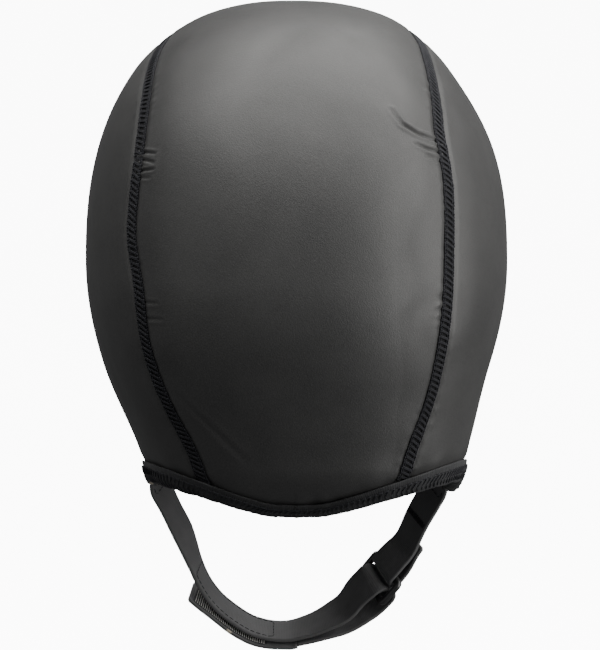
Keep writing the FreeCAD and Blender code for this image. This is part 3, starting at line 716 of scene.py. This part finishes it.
def row_tree():
    """Geometry nodes: one cell at every point, turned by the point's own directions."""
    tree = bpy.data.node_groups.new("row_of_cells", "GeometryNodeTree")
    for label, kind in (("Geometry", "NodeSocketGeometry"), ("Cell", "NodeSocketObject"),
                        ("Turn Spread", "NodeSocketFloat"), ("Size Spread", "NodeSocketFloat"),
                        ("Seed", "NodeSocketInt"), ("Material", "NodeSocketMaterial")):
        tree.interface.new_socket(label, in_out="INPUT", socket_type=kind)
    tree.interface.new_socket("Geometry", in_out="OUTPUT", socket_type="NodeSocketGeometry")
    nodes, links = tree.nodes, tree.links
    entry, out = nodes.new("NodeGroupInput"), nodes.new("NodeGroupOutput")
    axes = put(nodes, "FunctionNodeAxesToRotation", primary_axis="X", secondary_axis="Z")
    for label, socket in (("ahead", "Primary Axis"), ("outward", "Secondary Axis")):
        read = put(nodes, "GeometryNodeInputNamedAttribute", data_type="FLOAT_VECTOR", inputs={"Name": label})
        links.new(read.outputs["Attribute"], axes.inputs[socket])
    less = put(nodes, "ShaderNodeMath", operation="MULTIPLY")
    less.inputs[1].default_value = -1.0
    links.new(entry.outputs["Turn Spread"], less.inputs[0])
    sway = put(nodes, "FunctionNodeRandomValue", data_type="FLOAT")
    links.new(less.outputs[0], sway.inputs[2])
    links.new(entry.outputs["Turn Spread"], sway.inputs[3])
    links.new(entry.outputs["Seed"], sway.inputs["Seed"])
    turn = put(nodes, "ShaderNodeCombineXYZ")
    links.new(sway.outputs[1], turn.inputs["Z"])
    euler = put(nodes, "FunctionNodeEulerToRotation")
    links.new(turn.outputs[0], euler.inputs[0])
    both = put(nodes, "FunctionNodeRotateRotation", rotation_space="LOCAL")
    links.new(axes.outputs[0], both.inputs[0])
    links.new(euler.outputs[0], both.inputs[1])
    small = put(nodes, "ShaderNodeMath", operation="SUBTRACT")
    small.inputs[0].default_value = 1.0
    large = put(nodes, "ShaderNodeMath", operation="ADD")
    large.inputs[0].default_value = 1.0
    size = put(nodes, "FunctionNodeRandomValue", data_type="FLOAT")
    for limit, socket in ((small, 2), (large, 3)):
        links.new(entry.outputs["Size Spread"], limit.inputs[1])
        links.new(limit.outputs[0], size.inputs[socket])
    links.new(entry.outputs["Seed"], size.inputs["Seed"])
    cell = put(nodes, "GeometryNodeObjectInfo")
    links.new(entry.outputs["Cell"], cell.inputs["Object"])
    place = put(nodes, "GeometryNodeInstanceOnPoints")
    links.new(entry.outputs["Geometry"], place.inputs["Points"])
    links.new(cell.outputs["Geometry"], place.inputs["Instance"])
    links.new(both.outputs[0], place.inputs["Rotation"])
    links.new(size.outputs[1], place.inputs["Scale"])
    real = put(nodes, "GeometryNodeRealizeInstances")
    links.new(place.outputs["Instances"], real.inputs[0])
    paint = put(nodes, "GeometryNodeSetMaterial")
    links.new(real.outputs[0], paint.inputs["Geometry"])
    links.new(entry.outputs["Material"], paint.inputs["Material"])
    links.new(paint.outputs[0], out.inputs["Geometry"])
    return tree


ROW = row_tree()


def row_of(name, cell, points, ahead, out, material, turn=0.05, size=0.04, seed=1):
    """A plain mesh of one cell at each point, lying along ahead with its top to out."""
    mesh = bpy.data.meshes.new(f"{name}_points")
    mesh.from_pydata((np.asarray(points) * MM).tolist(), [], [])
    for label, vectors in (("ahead", unit(ahead)), ("outward", unit(out))):
        mesh.attributes.new(label, "FLOAT_VECTOR", "POINT").data.foreach_set(
            "vector", np.asarray(vectors, np.float32).ravel())
    thing = bpy.data.objects.new(f"{name}_points", mesh)
    bpy.context.scene.collection.objects.link(thing)
    values = {"Cell": cell, "Turn Spread": turn, "Size Spread": size, "Seed": seed, "Material": material}
    modifier = thing.modifiers.new("row", "NODES")
    modifier.node_group = ROW
    for socket in ROW.interface.items_tree:
        if socket.name in values:
            modifier[socket.identifier] = values[socket.name]
    view = bpy.context.evaluated_depsgraph_get()
    plain = bpy.data.meshes.new_from_object(thing.evaluated_get(view))
    bpy.data.objects.remove(thing)
    finished = bpy.data.objects.new(name, plain)
    plain.name = name
    bpy.context.scene.collection.objects.link(finished)
    return finished


def along_line(points, ends=False):
    """Directions along a line of points; ends joins it round into a ring."""
    if ends:
        return unit(np.roll(points, -1, axis=0) - np.roll(points, 1, axis=0))
    return unit(np.gradient(points, axis=0))


def arch(start, stop, rise, dip, steps=6):
    """A stitch from start to stop that dips under the surface at both ends."""
    t = np.linspace(0, 1, steps)[:, None]
    line = np.asarray(start, float) * (1 - t) + np.asarray(stop, float) * t
    line[:, 2] += rise - (rise + dip) * np.abs(2 * t[:, 0] - 1) ** 5
    return line


def flatlock_cell(name, pitch, half):
    """One slanted pair of cover threads across the seam, with the needle stitches that hold its ends."""
    threads = []
    for x in (-0.25, 0.25):
        threads.append((arch((x - 1.35, -half, 0.05), (x + 1.35, half, 0.05), 0.36, 0.16, 9), 0.28, 6))
    for row, radius in ((-0.93, 0.27), (-0.6, 0.25), (0.6, 0.25), (0.93, 0.27)):
        for step in (-0.5, 0.0):
            x, y = step * pitch, row * half
            threads.append((arch((x - 0.05, y, 0.1), (x + 0.46 * pitch, y, 0.1), 0.24, 0.25), radius, 5))
    return cell_of(name, threads)


flatlock = flatlock_cell("flatlock_cell", 2.3, 2.75)
looper = cell_of("looper_cell", [
    (arch((-1.1, -1.9, 0), (1.0, 1.9, 0), 0.16, 0.05), 0.14, 5),
    (arch((-0.2, 1.9, 0), (1.1, -1.9, 0), 0.10, 0.05), 0.14, 5),
    (arch((-1.1, 0, 0.05), (1.1, 0, 0.05), 0.18, 0.1), 0.14, 5),
])
for number, side in enumerate(SIDE_SIGN):
    line = seam_line(side)
    margin = HEM_TALL + 0.6
    count = int((line_length(line) - 2 * margin) / 2.3)
    points = spread(line, count, margin)
    normal = outward(points)
    lying = offset_grid(points, relief(points, (side,)) + 0.02)
    cover = row_of(f"{side}_flatlock_threads", flatlock, lying, along_line(points), normal, THREAD,
                   0.05, 0.05, 3 + number)
    stand_for(cover, "cap", "seam_thread", f"{side}_seam_cover")
    # painted shade: a near-black bed under the cover threads, darker than the foam edges it stands for, so the slots
    # between the threads read as shadowed
    bed_line = spread(line, 260, HEM_TALL - 0.5)
    aside = unit(np.cross(outward(bed_line), along_line(bed_line)))
    strip = np.stack([onto_surface(bed_line + aside * d) for d in (-2.95, -2.5, -1.2, 0, 1.2, 2.5, 2.95)], axis=1)
    rise = relief(strip, (side,))
    top = rise + np.array([0.02, 0.06, 0.08, 0.08, 0.08, 0.06, 0.02])
    bed = slab(f"{side}_seam_underlay", offset_grid(strip, top), offset_grid(strip, rise - 0.15), SEAM_BED_SHADE)
    stand_for(bed, "cap", "seam_thread", f"{side}_seam_cover")
    inside = offset_grid(points, -LINED - 0.08)
    under = row_of(f"{side}_looper_threads", looper, inside, along_line(points), -normal, THREAD,
                   0.06, 0.05, 7 + number)
    stand_for(under, "cap", "seam_thread", f"{side}_seam_looper")

# ---------------------------------------------------------------- folded hem

HEM_WALL, HEM_SLACK = 0.8, 0.38


def ring_raised(points, tall):
    up = unit(np.cross(outward(points), along_line(points, True)))
    up = np.where(up[:, 2:] < 0, -up, up)
    tall = np.broadcast_to(tall, len(points))
    return onto_surface(points + up * tall[:, None])


def hem_profile():
    """Section of the fold as (height, offset), from the hidden outer face round the bottom to the inner top."""
    top_in, top_out = HEM_SLACK, HEM_SLACK + HEM_WALL
    section = [(9.0, top_in - 0.25), (9.25, top_in + 0.02), (9.15, top_in + 0.22), (8.6, top_in + 0.36)]
    section += [(h, top_out + d) for h, d in ((7.9, -0.38), (7.2, -0.26), (6.6, -0.16), (5.8, 0.02), (4.4, 0.1),
                                              (3.0, 0.06), (2.3, -0.1), (1.7, -0.18), (1.0, 0.02), (0.45, -0.1))]
    section += [(0.05, 0.55), (-0.12, -0.4), (-0.15, -1.5), (-0.12, -2.6), (0.05, -3.55), (0.5, -4.0)]
    section += [(h, -LINED - HEM_SLACK - HEM_WALL) for h in (1.5, 3.2, 5.0, 6.8, 8.2)]
    section += [(9.0, -LINED - HEM_SLACK - 0.55), (9.0, -LINED - HEM_SLACK)]
    section += [(h, -LINED - HEM_SLACK) for h in (7.0, 5.0, 3.0, 1.6)]
    section += [(0.8, -2.9), (0.75, -1.5), (0.8, 0.0), (1.6, HEM_SLACK), (4.0, HEM_SLACK), (6.5, HEM_SLACK)]
    return section


ring = spread(np.concatenate([HEM_RING, HEM_RING[:1]]), 1041)[:-1]
run_round = np.arange(len(ring)) * line_length(ring) / len(ring)
wobble = 0.28 * waves(run_round, 13, 91) + 0.12 * waves(run_round, 4.2, 92)
swell = 0.10 * waves(run_round, 9, 93) + 0.05 * waves(run_round, 2.1, 94)
rails, edges = [], []
for height, offset in hem_profile():
    at = ring_raised(ring, height + wobble * (1 - min(height, 9) / 14))
    shown = 1.0 if offset > HEM_SLACK + 0.2 else 0.3
    rails.append(at + outward(at) * (offset + swell * shown)[:, None])
    edges.append(np.full(len(ring), 1.0 if height < 0.3 and offset > -0.5 else 0.0))
rails = np.stack(rails, axis=1)
flat_v = np.concatenate([[0], np.cumsum(np.linalg.norm(np.diff(rails[0], axis=0), axis=1))])
hem_uv = np.stack([np.repeat(run_round, rails.shape[1]), np.tile(flat_v, len(ring))], axis=-1) * MM
hem_faces = grid_faces(len(ring), rails.shape[1], closed=True)
last = (len(ring) - 1) * rails.shape[1]
for j in range(rails.shape[1]):
    k = (j + 1) % rails.shape[1]
    hem_faces.append((last + j, last + k, k, j))
hem_band = new_object("folded_hem_tape", rails.reshape(-1, 3), hem_faces, TAPE, hem_uv)
edges = np.stack(edges, axis=1)
# painted highlight: the hem's lower edge beside the strap roots gets a pale beige line where it catches the light
highlight_span = (ring[:, 1] > -6) & (np.abs(ring[:, 0]) > 47) & (np.abs(ring[:, 0]) < 60)
for label, values in (("edge", edges), ("edge_highlight", edges * highlight_span[:, None] * 0.85)):
    hem_band.data.attributes.new(label, "FLOAT", "POINT").data.foreach_set(
        "value", values.ravel().astype(np.float32))
stand_for(hem_band, "cap", "hem_tape", "hem_binding")

hem_cell = cell_of("hem_cell", [
    (arch((-1.05, -2.7, 0.1), (1.05, -2.7, 0.1), 0.12, 0.2), 0.18, 5),
    (arch((-1.05, 3.6, -0.3), (1.05, 3.6, -0.3), 0.12, 0.2), 0.18, 5),
    (arch((-0.95, -2.7, 0.05), (0.85, 0.5, 0.1), 0.2, 0.02), 0.24, 5),
    (arch((0.85, 0.5, 0.1), (-0.45, 3.6, -0.3), 0.2, 0.02), 0.24, 5),
])
count = int(line_length(ring) / 2.05)
stitch_at = spread(np.concatenate([ring, ring[:1]]), count + 1)[:-1]
middle = ring_raised(stitch_at, 4.45)
hem_stitches = row_of("hem_cover_stitches", hem_cell, offset_grid(middle, HEM_SLACK + HEM_WALL + 0.02),
                      along_line(middle, True), outward(middle), THREAD, 0.05, 0.05, 12)
stand_for(hem_stitches, "cap", "seam_thread", "hem_stitching")

# ---------------------------------------------------------------- strap paths

HINGE = np.array([0.0, -26.0, -193.5])
TILT = math.radians(14)
STRAP_WIDE, HALF, PATCH = 17.0, 0.75, 0.5
STACK = 2.75
RING_MIDDLE = np.array([-34.0, -40.5])
RING_UP = np.array([-0.625, 0.781]) / math.hypot(0.625, 0.781)
RING_IN = np.array([RING_UP[1], -RING_UP[0]])
UPPER_BAR, LOWER_BAR = RING_MIDDLE + RING_UP * 5, RING_MIDDLE - RING_UP * 5
ACROSS = np.array([0.0, math.cos(TILT), -math.sin(TILT)])


def in_place(flat, across=0.0):
    """From (x, up) in the strap's plane, and a distance across it, to the cap's own frame."""
    flat = np.asarray(flat, float)
    x, up = flat[..., 0], flat[..., 1]
    plane = np.stack([x, up * math.sin(TILT), up * math.cos(TILT)], axis=-1)
    return HINGE + plane + np.asarray(across)[..., None] * ACROSS


class Path:
    """Points close together along straight runs that are joined by tangent arcs."""

    def __init__(self, corners):
        points = np.array(corners, float)
        line = [points[0]]
        for before, corner, after in zip(points, points[1:], points[2:]):
            into, out = corner - before, after - corner
            turn = math.atan2(into[0] * out[1] - into[1] * out[0], float(into @ out))
            long = float(np.linalg.norm(into))
            back = 0.45 * min(long, float(np.linalg.norm(out)))
            radius = back / math.tan(abs(turn) / 2)
            first = corner - into / long * back
            centre = first + np.array([-into[1], into[0]]) / long * math.copysign(radius, turn)
            angle = math.atan2(first[1] - centre[1], first[0] - centre[0])
            for t in angle + turn * np.linspace(0, 1, 15):
                line.append(centre + radius * np.array([math.cos(t), math.sin(t)]))
        line.append(points[-1])
        self.points = np.array(line)
        self.run = np.concatenate([[0], np.cumsum(np.linalg.norm(np.diff(self.points, axis=0), axis=1))])
        self.length = float(self.run[-1])

    def at(self, distance, offset=0.0):
        """Points a distance along, moved to the left of the path."""
        distance = np.asarray(distance, float)
        near, ahead = self.ends(distance)
        left = np.stack([-ahead[..., 1], ahead[..., 0]], axis=-1)
        return near + left * np.asarray(offset)[..., None]

    def ends(self, distance):
        here = np.stack([np.interp(distance, self.run, self.points[:, k]) for k in (0, 1)], axis=-1)
        low, high = np.clip(distance - 0.3, 0, self.length), np.clip(distance + 0.3, 0, self.length)
        step = np.stack([np.interp(high, self.run, self.points[:, k]) - np.interp(low, self.run, self.points[:, k])
                         for k in (0, 1)], axis=-1)
        return here, unit(step)


def near_bar(bar, along, inward):
    return tuple(bar + RING_UP * along + RING_IN * inward)


UNDER_CHIN = [(53.6, 8), (56.2, 1), (49.7, -12.5), (44, -25.2), (40.6, -35.5), (36.2, -45.4),
              (30.7, -52.3), (23.9, -58), (17.3, -62), (10.2, -64), (2.2, -64), (-8, -60.7), (-19.4, -54),
              near_bar(LOWER_BAR, -6, 3.9)]
FROM_FLAP = [(-57.6, 7), (-57, 0), (-52.8, -7.4), (-48.2, -16), near_bar(UPPER_BAR, 12, 0.85)]
inner_run = Path(UNDER_CHIN + [near_bar(LOWER_BAR, 1, 3.9)])
strap_path = Path(UNDER_CHIN + [near_bar(LOWER_BAR, 5, 3.9), near_bar(LOWER_BAR, 5, -6),
                                near_bar(LOWER_BAR, -6, -6), (-21.2, -59.9),
                                tuple(inner_run.at(105, STACK + 0.2)), tuple(inner_run.at(100, STACK))])
tab_path = Path([tuple(inner_run.at(99.95, STACK)), (2.3, -66.8), (10.9, -66.9), (18.8, -64.9), (25.7, -60.7),
                 (33.1, -54.4), (42.6, -46.2)])
short_path = Path(FROM_FLAP + [near_bar(UPPER_BAR, 5, 2.2), near_bar(UPPER_BAR, -2.8, 2.3),
                               near_bar(UPPER_BAR, -2.8, -2.3), near_bar(UPPER_BAR, 5, -2.2),
                               near_bar(UPPER_BAR, 12, -0.85), near_bar(UPPER_BAR, 16.5, -0.95)])

# The loop of strap flares like a cone: its back edge stands further out than its front edge.
# Each lean, in degrees, is at a direction round the loop from its middle, 0 to the wearer's left.
SPINE = Path(UNDER_CHIN[:-1] + [near_bar(LOWER_BAR, -7, 2.5), near_bar(LOWER_BAR, 0, 0), near_bar(UPPER_BAR, 1, 0),
                                near_bar(UPPER_BAR, 12, 0.7)] + FROM_FLAP[3::-1])
LOOP_MIDDLE_UP = -25.0
FLARE = [(-34, 6), (-31, 13), (-27, 21), (-15, 19), (-5, 20), (6, 15), (14, 11), (30, 8), (60, 6), (84, 6), (104, 12),
         (123, 21), (143, 29), (154, 31), (168, 31), (180, 26), (192, 27), (200, 28), (204, 26), (209, 12), (212, 6)]


def spine_frame():
    run = np.arange(0, SPINE.length, 0.4)
    base, ahead = SPINE.ends(run)
    round_loop = np.degrees(np.arctan2(LOOP_MIDDLE_UP - base[:, 1], base[:, 0]))
    round_loop = np.where(round_loop < -90, round_loop + 360, round_loop)
    return base, ahead, np.stack([-ahead[:, 1], ahead[:, 0]], axis=-1), np.radians(smooth(FLARE, round_loop))


SPINE_FRAME = spine_frame()


def laid(flat, across):
    """Points of the loop, from (x, up) and a distance across, flared and set in place."""
    flat = np.asarray(flat, float)
    across = np.broadcast_to(np.asarray(across, float), flat.shape[:-1])
    base, ahead, out, lean = SPINE_FRAME
    gap = np.linalg.norm(flat.reshape(-1, 1, 2) - base[None], axis=2)
    k = gap.argmin(axis=1).reshape(flat.shape[:-1])
    away = flat - base[k]
    along = (away * ahead[k]).sum(axis=-1)
    proud = (away * out[k]).sum(axis=-1)
    turn = lean[k] + along * np.gradient(lean, 0.4)[k]
    moved = proud * np.cos(turn) + across * np.sin(turn)
    return in_place(base[k] + ahead[k] * along[..., None] + out[k] * moved[..., None],
                    across * np.cos(turn) - proud * np.sin(turn))


def band_place(path, distance, across, offset):
    return laid(path.at(distance, offset), across)


def band_section(half_wide, low, high, corner, rows):
    """Closed section of a band as (across, offset), with rounded edges."""
    wide = half_wide - corner
    section = [(a, high) for a in np.linspace(-wide, wide, rows)]
    for centre, first in ((high - corner, 90), (low + corner, 0)):
        for t in np.radians([first - 30, first - 60, first - 90][: 3 if first == 90 else 2]):
            section.append((wide + corner * math.cos(t), centre + corner * math.sin(t)))
    section += [(a, low) for a in np.linspace(wide, -wide, rows)]
    for centre, first in ((low + corner, 270), (high - corner, 180)):
        for t in np.radians([first - 30, first - 60, first - 90][: 3 if first == 270 else 2]):
            section.append((-wide + corner * math.cos(t), centre + corner * math.sin(t)))
    return np.array(section)


def band(name, path, begin, end, low, high, material, half_wide=STRAP_WIDE / 2, corner=0.45,
         step=0.7, edge_highlight=(), ends=(1.2, 1.2), rows=19, aside=0.0):
    """A flat strap along part of a path, its corners rounded where it is cut."""
    section = band_section(half_wide, low, high, corner, rows)
    count = max(int((end - begin) / step), 8)
    distance = np.linspace(begin, end, count)
    grid = []
    middle = (low + high) / 2
    for s in distance:
        left_over, cut = min((s - begin, ends[0]), (end - s, ends[1]))
        pinch = 1 - (cut - math.sqrt(max(cut ** 2 - max(cut - left_over, 0) ** 2, 0))) / half_wide
        across = section[:, 0] * pinch + 0.05 * math.sin(s / 3.1) + aside
        offset = middle + (section[:, 1] - middle) * (1 if 0 < left_over or not cut else 0.7)
        offset = offset + 0.05 * math.sin(s / 2.3 + 1) * np.cos(section[:, 0] / 3)
        grid.append(band_place(path, np.full(len(section), s), across, offset))
    grid = np.array(grid)
    size = grid.shape[1]
    faces = grid_faces(count, size, closed=True)
    faces.append(tuple(range(size)))
    faces.append(tuple(range((count - 1) * size, count * size)))
    round_run = np.concatenate([[0], np.cumsum(np.linalg.norm(np.diff(section, axis=0), axis=1))])
    uv = np.stack([np.repeat(distance, size), np.tile(round_run, count)], axis=-1) * MM
    thing = new_object(name, grid.reshape(-1, 3), faces, material, uv)
    narrow = (np.abs(section[:, 0]) > half_wide - corner * 0.7).astype(np.float32)
    masks = {"edge": np.tile(narrow, (count, 1)), "edge_highlight": np.zeros((count, size), np.float32)}
    # painted highlight: a pale line on the narrow edges over the given stretches
    for first, last in edge_highlight:
        masks["edge_highlight"][(distance >= first) & (distance <= last)] = 0.8 * narrow
    for label, values in masks.items():
        thing.data.attributes.new(label, "FLOAT", "POINT").data.foreach_set("value", values.ravel())
    return thing


TAB_ASIDE = 1.3                  # the free end was pressed down a little off line


def bend(piece, slot_name, *nodes):
    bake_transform(piece)
    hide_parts(*nodes)


long_strap = band("long_strap_web", strap_path, 0, strap_path.length, -HALF, HALF, STRAP, ends=(1.2, 0))
bend(long_strap, "strap_neoprene", "long_strap")
short_strap = band("short_strap_web", short_path, 0, short_path.length, -HALF, HALF, STRAP)
bend(short_strap, "strap_neoprene", "short_strap")
# the free end's edge gets a short pale painted highlight line
tab = band("free_end_web", tab_path, 0, tab_path.length, -HALF, HALF, STRAP, ends=(0, 0.9), edge_highlight=((27.5, 29.6),),
           aside=TAB_ASIDE)
stand_for(tab, "free_end", "strap_neoprene", "strap_tab")

# ---------------------------------------------------------------- closure patches

loop_cell = cell_of("loop_cell", [(np.array([(-0.22, 0, -0.03), (-0.2, 0.05, 0.16), (0, 0.1, 0.27),
                                             (0.2, 0.05, 0.16), (0.22, 0, -0.03)]), 0.05, 4)])
hook_cell = cell_of("hook_cell", [(np.array([(0, 0, -0.05), (0, 0, 0.14), (0.05, 0, 0.24), (0.16, 0, 0.27),
                                             (0.24, 0, 0.2)]), 0.13, 5)])


def patch_points(path, begin, end, offset, pitch, half_wide, seed, scatter, aside=0.0):
    """Rows of points over a patch, slightly scattered."""
    rng = np.random.default_rng(seed)
    along = np.arange(begin + pitch, end - pitch / 2, pitch)
    across = np.arange(-half_wide + pitch * 0.6, half_wide - pitch * 0.3, pitch)
    s, a = [g.ravel() for g in np.meshgrid(along, across, indexing="ij")]
    s = s + rng.uniform(-scatter, scatter, len(s))
    a = a + rng.uniform(-scatter, scatter, len(a)) + aside
    here = laid(path.at(s, np.full(len(s), offset)), a)
    above = laid(path.at(s, np.full(len(s), offset + 1)), a)
    ahead = laid(path.at(s + 0.5, np.full(len(s), offset)), a) - here
    return here, ahead, above - here


PATCH_HALF = STRAP_WIDE / 2 - 0.75
loop_base = band("loop_patch_backing", inner_run, 47, 92, HALF, HALF + 0.22, PILE, PATCH_HALF, corner=0.1)
stand_for(loop_base, "chin_strap", "loop_pile", "loop_patch")
spots = patch_points(inner_run, 47.4, 91.6, HALF + 0.2, 0.62, PATCH_HALF - 0.2, 21, 0.16)
loops = row_of("loop_patch_pile", loop_cell, *spots, PILE, 3.1, 0.25, 22)
stand_for(loops, "chin_strap", "loop_pile", "loop_patch")

hook_end = tab_path.length - 1.5
hook_base = band("hook_patch_backing", tab_path, 12, hook_end, HALF, HALF + 0.22, HOOK_BASE, PATCH_HALF, corner=0.1,
                 aside=TAB_ASIDE)
stand_for(hook_base, "free_end", "hook_tape", "hook_patch")
spots = patch_points(tab_path, 12.4, hook_end - 0.3, HALF + 0.2, 0.95, PATCH_HALF - 0.1, 23, 0.04, TAB_ASIDE)
hooks = row_of("hook_patch_hooks", hook_cell, *spots, HOOKS_PALE_GLINT, 0.2, 0.08, 24)
stand_for(hooks, "free_end", "hook_tape", "hook_patch")

# ---------------------------------------------------------------- lock stitches on the straps

lock_cell = cell_of("lock_cell", [(arch((-1.05, 0, 0.04), (1.05, 0, 0.04), 0.12, 0.22, 8), 0.14, 6)])
tack_cell = cell_of("tack_cell", [(arch((-1.25, 0, 0.04), (1.25, 0, 0.04), 0.13, 0.2, 8), 0.15, 6)])


def stitched_frame(name, path, begin, end, offset, face, seed, aside=0.0):
    """A rectangle of lock stitches; face is 1 on the left of the path and -1 on its right."""
    half = STRAP_WIDE / 2 - 1.9
    corners = [(begin + 0.4, -half), (end - 0.4, -half), (end - 0.4, half), (begin + 0.4, half)]
    s, a = [], []
    for (s0, a0), (s1, a1) in zip(corners, corners[1:] + corners[:1]):
        count = max(int(math.hypot(s1 - s0, a1 - a0) / 2.5), 2)
        t = (np.arange(count) + 0.5) / count
        s.append(s0 + (s1 - s0) * t)
        a.append(a0 + (a1 - a0) * t)
    s, a = np.concatenate(s), np.concatenate(a) + aside
    here = band_place(path, s, a, np.full(len(s), offset))
    over = band_place(path, s, a, np.full(len(s), offset + face)) - here
    next_round = np.roll(here, -1, axis=0) - np.roll(here, 1, axis=0)
    for corner in (0, len(here) - 1):
        next_round[corner] = here[min(corner + 1, len(here) - 1)] - here[max(corner - 1, 0)]
    return row_of(name, lock_cell, here, next_round, over, THREAD, 0.04, 0.05, seed)


outer = -HALF
frame_threads = stitched_frame("loop_patch_threads", inner_run, 47.5, 91.5, outer, -1, seed=31)
stand_for(frame_threads, "chin_strap", "seam_thread", "loop_patch_stitching")
frame_threads = stitched_frame("hook_patch_threads", tab_path, 12.5, tab_path.length - 2, outer, -1, seed=32,
                               aside=TAB_ASIDE)
stand_for(frame_threads, "free_end", "seam_thread", "hook_patch_stitching")
frame_threads = stitched_frame("long_root_threads", inner_run, 0.8, 10.5, outer, -1, seed=33)
bend(frame_threads, "seam_thread", "long_root_stitching")
frame_threads = stitched_frame("short_root_threads", short_path, 0.8, 10.5, HALF, 1, seed=34)
bend(frame_threads, "seam_thread", "short_root_stitching")
across = np.linspace(-7.2, 7.2, 25)
tack_run = np.full(len(across), 23.75)
here = band_place(short_path, tack_run, across, np.full(len(across), HALF))
over = band_place(short_path, tack_run, across, np.full(len(across), HALF + 1)) - here
ahead = band_place(short_path, tack_run + 0.5, across, np.full(len(across), HALF)) - here
tack = row_of("ring_bar_tack_threads", tack_cell, here, ahead, over, THREAD, 0.12, 0.05, 35)
stand_for(tack, "chin_strap", "seam_thread", "ring_bar_tack")

# ---------------------------------------------------------------- ring

BAR_HALF, RING_HALF_WIDE, RING_HALF_TALL, RING_BEND = 1.2, 10.5, 5.0, 1.5


def ring_middle_line():
    """The ring's own middle line as (along the strap, across it), with square-ish corners."""
    line = []
    for quarter, (sx, sy) in enumerate(((1, 1), (-1, 1), (-1, -1), (1, -1))):
        cx, cy = sx * (RING_HALF_WIDE - RING_BEND), sy * (RING_HALF_TALL - RING_BEND)
        for turn in np.radians(90 * quarter + np.linspace(0, 90, 9)):
            line.append((cy + RING_BEND * math.sin(turn), cx + RING_BEND * math.cos(turn)))
    line = np.array(line)
    closed = np.concatenate([line, line[:1]])
    run = np.concatenate([[0], np.cumsum(np.linalg.norm(np.diff(closed, axis=0), axis=1))])
    at = np.linspace(0, run[-1], 145)[:-1]
    return np.stack([np.interp(at, run, closed[:, k]) for k in (0, 1)], axis=-1)


def ring_mesh():
    line = ring_middle_line()
    ahead = unit(np.roll(line, -1, axis=0) - np.roll(line, 1, axis=0))
    aside = np.stack([ahead[:, 1], -ahead[:, 0]], axis=-1)
    turn = np.linspace(0, 2 * np.pi, 16, endpoint=False)
    c, s = np.cos(turn), np.sin(turn)
    squared = BAR_HALF / (np.abs(c) ** 3.6 + np.abs(s) ** 3.6) ** (1 / 3.6)
    swell = 1 + 0.02 * np.sin(np.arange(len(line)) / 5.0)
    flat = line[:, None] + aside[:, None] * (squared * c)[None, :, None] * swell[:, None, None]
    thick = np.broadcast_to(squared * s, flat.shape[:2]) * swell[:, None]
    place = RING_MIDDLE + RING_UP * flat[..., :1] + RING_IN * thick[..., None]
    verts = laid(place.reshape(-1, 2), flat[..., 1].reshape(-1))
    count, size = flat.shape[:2]
    faces = grid_faces(count, size, closed=True)
    faces += [((count - 1) * size + j, (count - 1) * size + (j + 1) % size, (j + 1) % size, j) for j in range(size)]
    return new_object("strap_ring_moulding", verts, faces, RING)


stand_for(ring_mesh(), "ring", "ring_plastic", "strap_ring")

for pattern in (flatlock, looper, hem_cell, loop_cell, hook_cell, lock_cell, tack_cell):
    bpy.data.objects.remove(pattern)

# ---------------------------------------------------------------- studio


def softbox(name, location, target, size, power, tint=(1, 1, 1)):
    light = bpy.data.lights.new(name, "AREA")
    light.shape, light.size, light.size_y = "RECTANGLE", *size
    light.energy, light.color = power, tint
    thing = bpy.data.objects.new(name, light)
    thing.location = location
    thing.rotation_euler = (Vector(target) - Vector(location)).to_track_quat("-Z", "Y").to_euler()
    bpy.context.scene.collection.objects.link(thing)
    return thing


aim = (0, 0, -0.12)
WARM = (1.0, 0.99, 0.965)
softbox("overhead", (-0.12, 0.15, 1.15), aim, (2.9, 2.2), 96, WARM)
softbox("broad_side", (-1.4, 0.6, -0.15), aim, (1.7, 2.1), 55, WARM)
softbox("far_side_fill", (1.2, 1.0, 0.1), aim, (0.8, 1.2), 2.2, WARM)

world = bpy.data.worlds.new("studio_air")
world.use_nodes = True
world.node_tree.nodes["Background"].inputs["Color"].default_value = (0.93, 0.94, 0.95, 1)
world.node_tree.nodes["Background"].inputs["Strength"].default_value = 0.17
bpy.context.scene.world = world

floor_mesh = bpy.data.meshes.new("floor")
floor_mesh.from_pydata([(-15, -15, -0.5), (15, -15, -0.5), (15, 15, -0.5), (-15, 15, -0.5)], [], [(0, 1, 2, 3)])
floor_material, floor_nodes, floor_links, floor_shader = tree_of("floor_paper")
floor_shader.inputs["Base Color"].default_value = (0.85, 0.85, 0.85, 1)
floor_shader.inputs["Roughness"].default_value = 0.9
floor_mesh.materials.append(floor_material)
floor = bpy.data.objects.new("floor", floor_mesh)
bpy.context.scene.collection.objects.link(floor)
floor.visible_diffuse = False
floor.visible_glossy = False
lit = bpy.data.collections.new("floor_only")
lit.objects.link(floor)
sun_data = bpy.data.lights.new("floor_light", "SUN")
sun_data.energy = 40
sun = bpy.data.objects.new("floor_light", sun_data)
sun.light_linking.receiver_collection = lit
bpy.context.scene.collection.objects.link(sun)

DISTANCE, RISE = 4.0, math.radians(6)
target = Vector((-0.0014, 0, -0.1264))
camera_data = bpy.data.cameras.new("camera")
camera_data.sensor_fit, camera_data.sensor_height = "VERTICAL", 24.0
camera_data.lens = 24.0 * DISTANCE / 0.26
camera_data.clip_end = 30
camera = bpy.data.objects.new("camera", camera_data)
camera.location = target + Vector((0, math.cos(RISE), math.sin(RISE))) * DISTANCE
camera.rotation_euler = (target - camera.location).to_track_quat("-Z", "Y").to_euler()
bpy.context.scene.collection.objects.link(camera)
bpy.context.scene.camera = camera
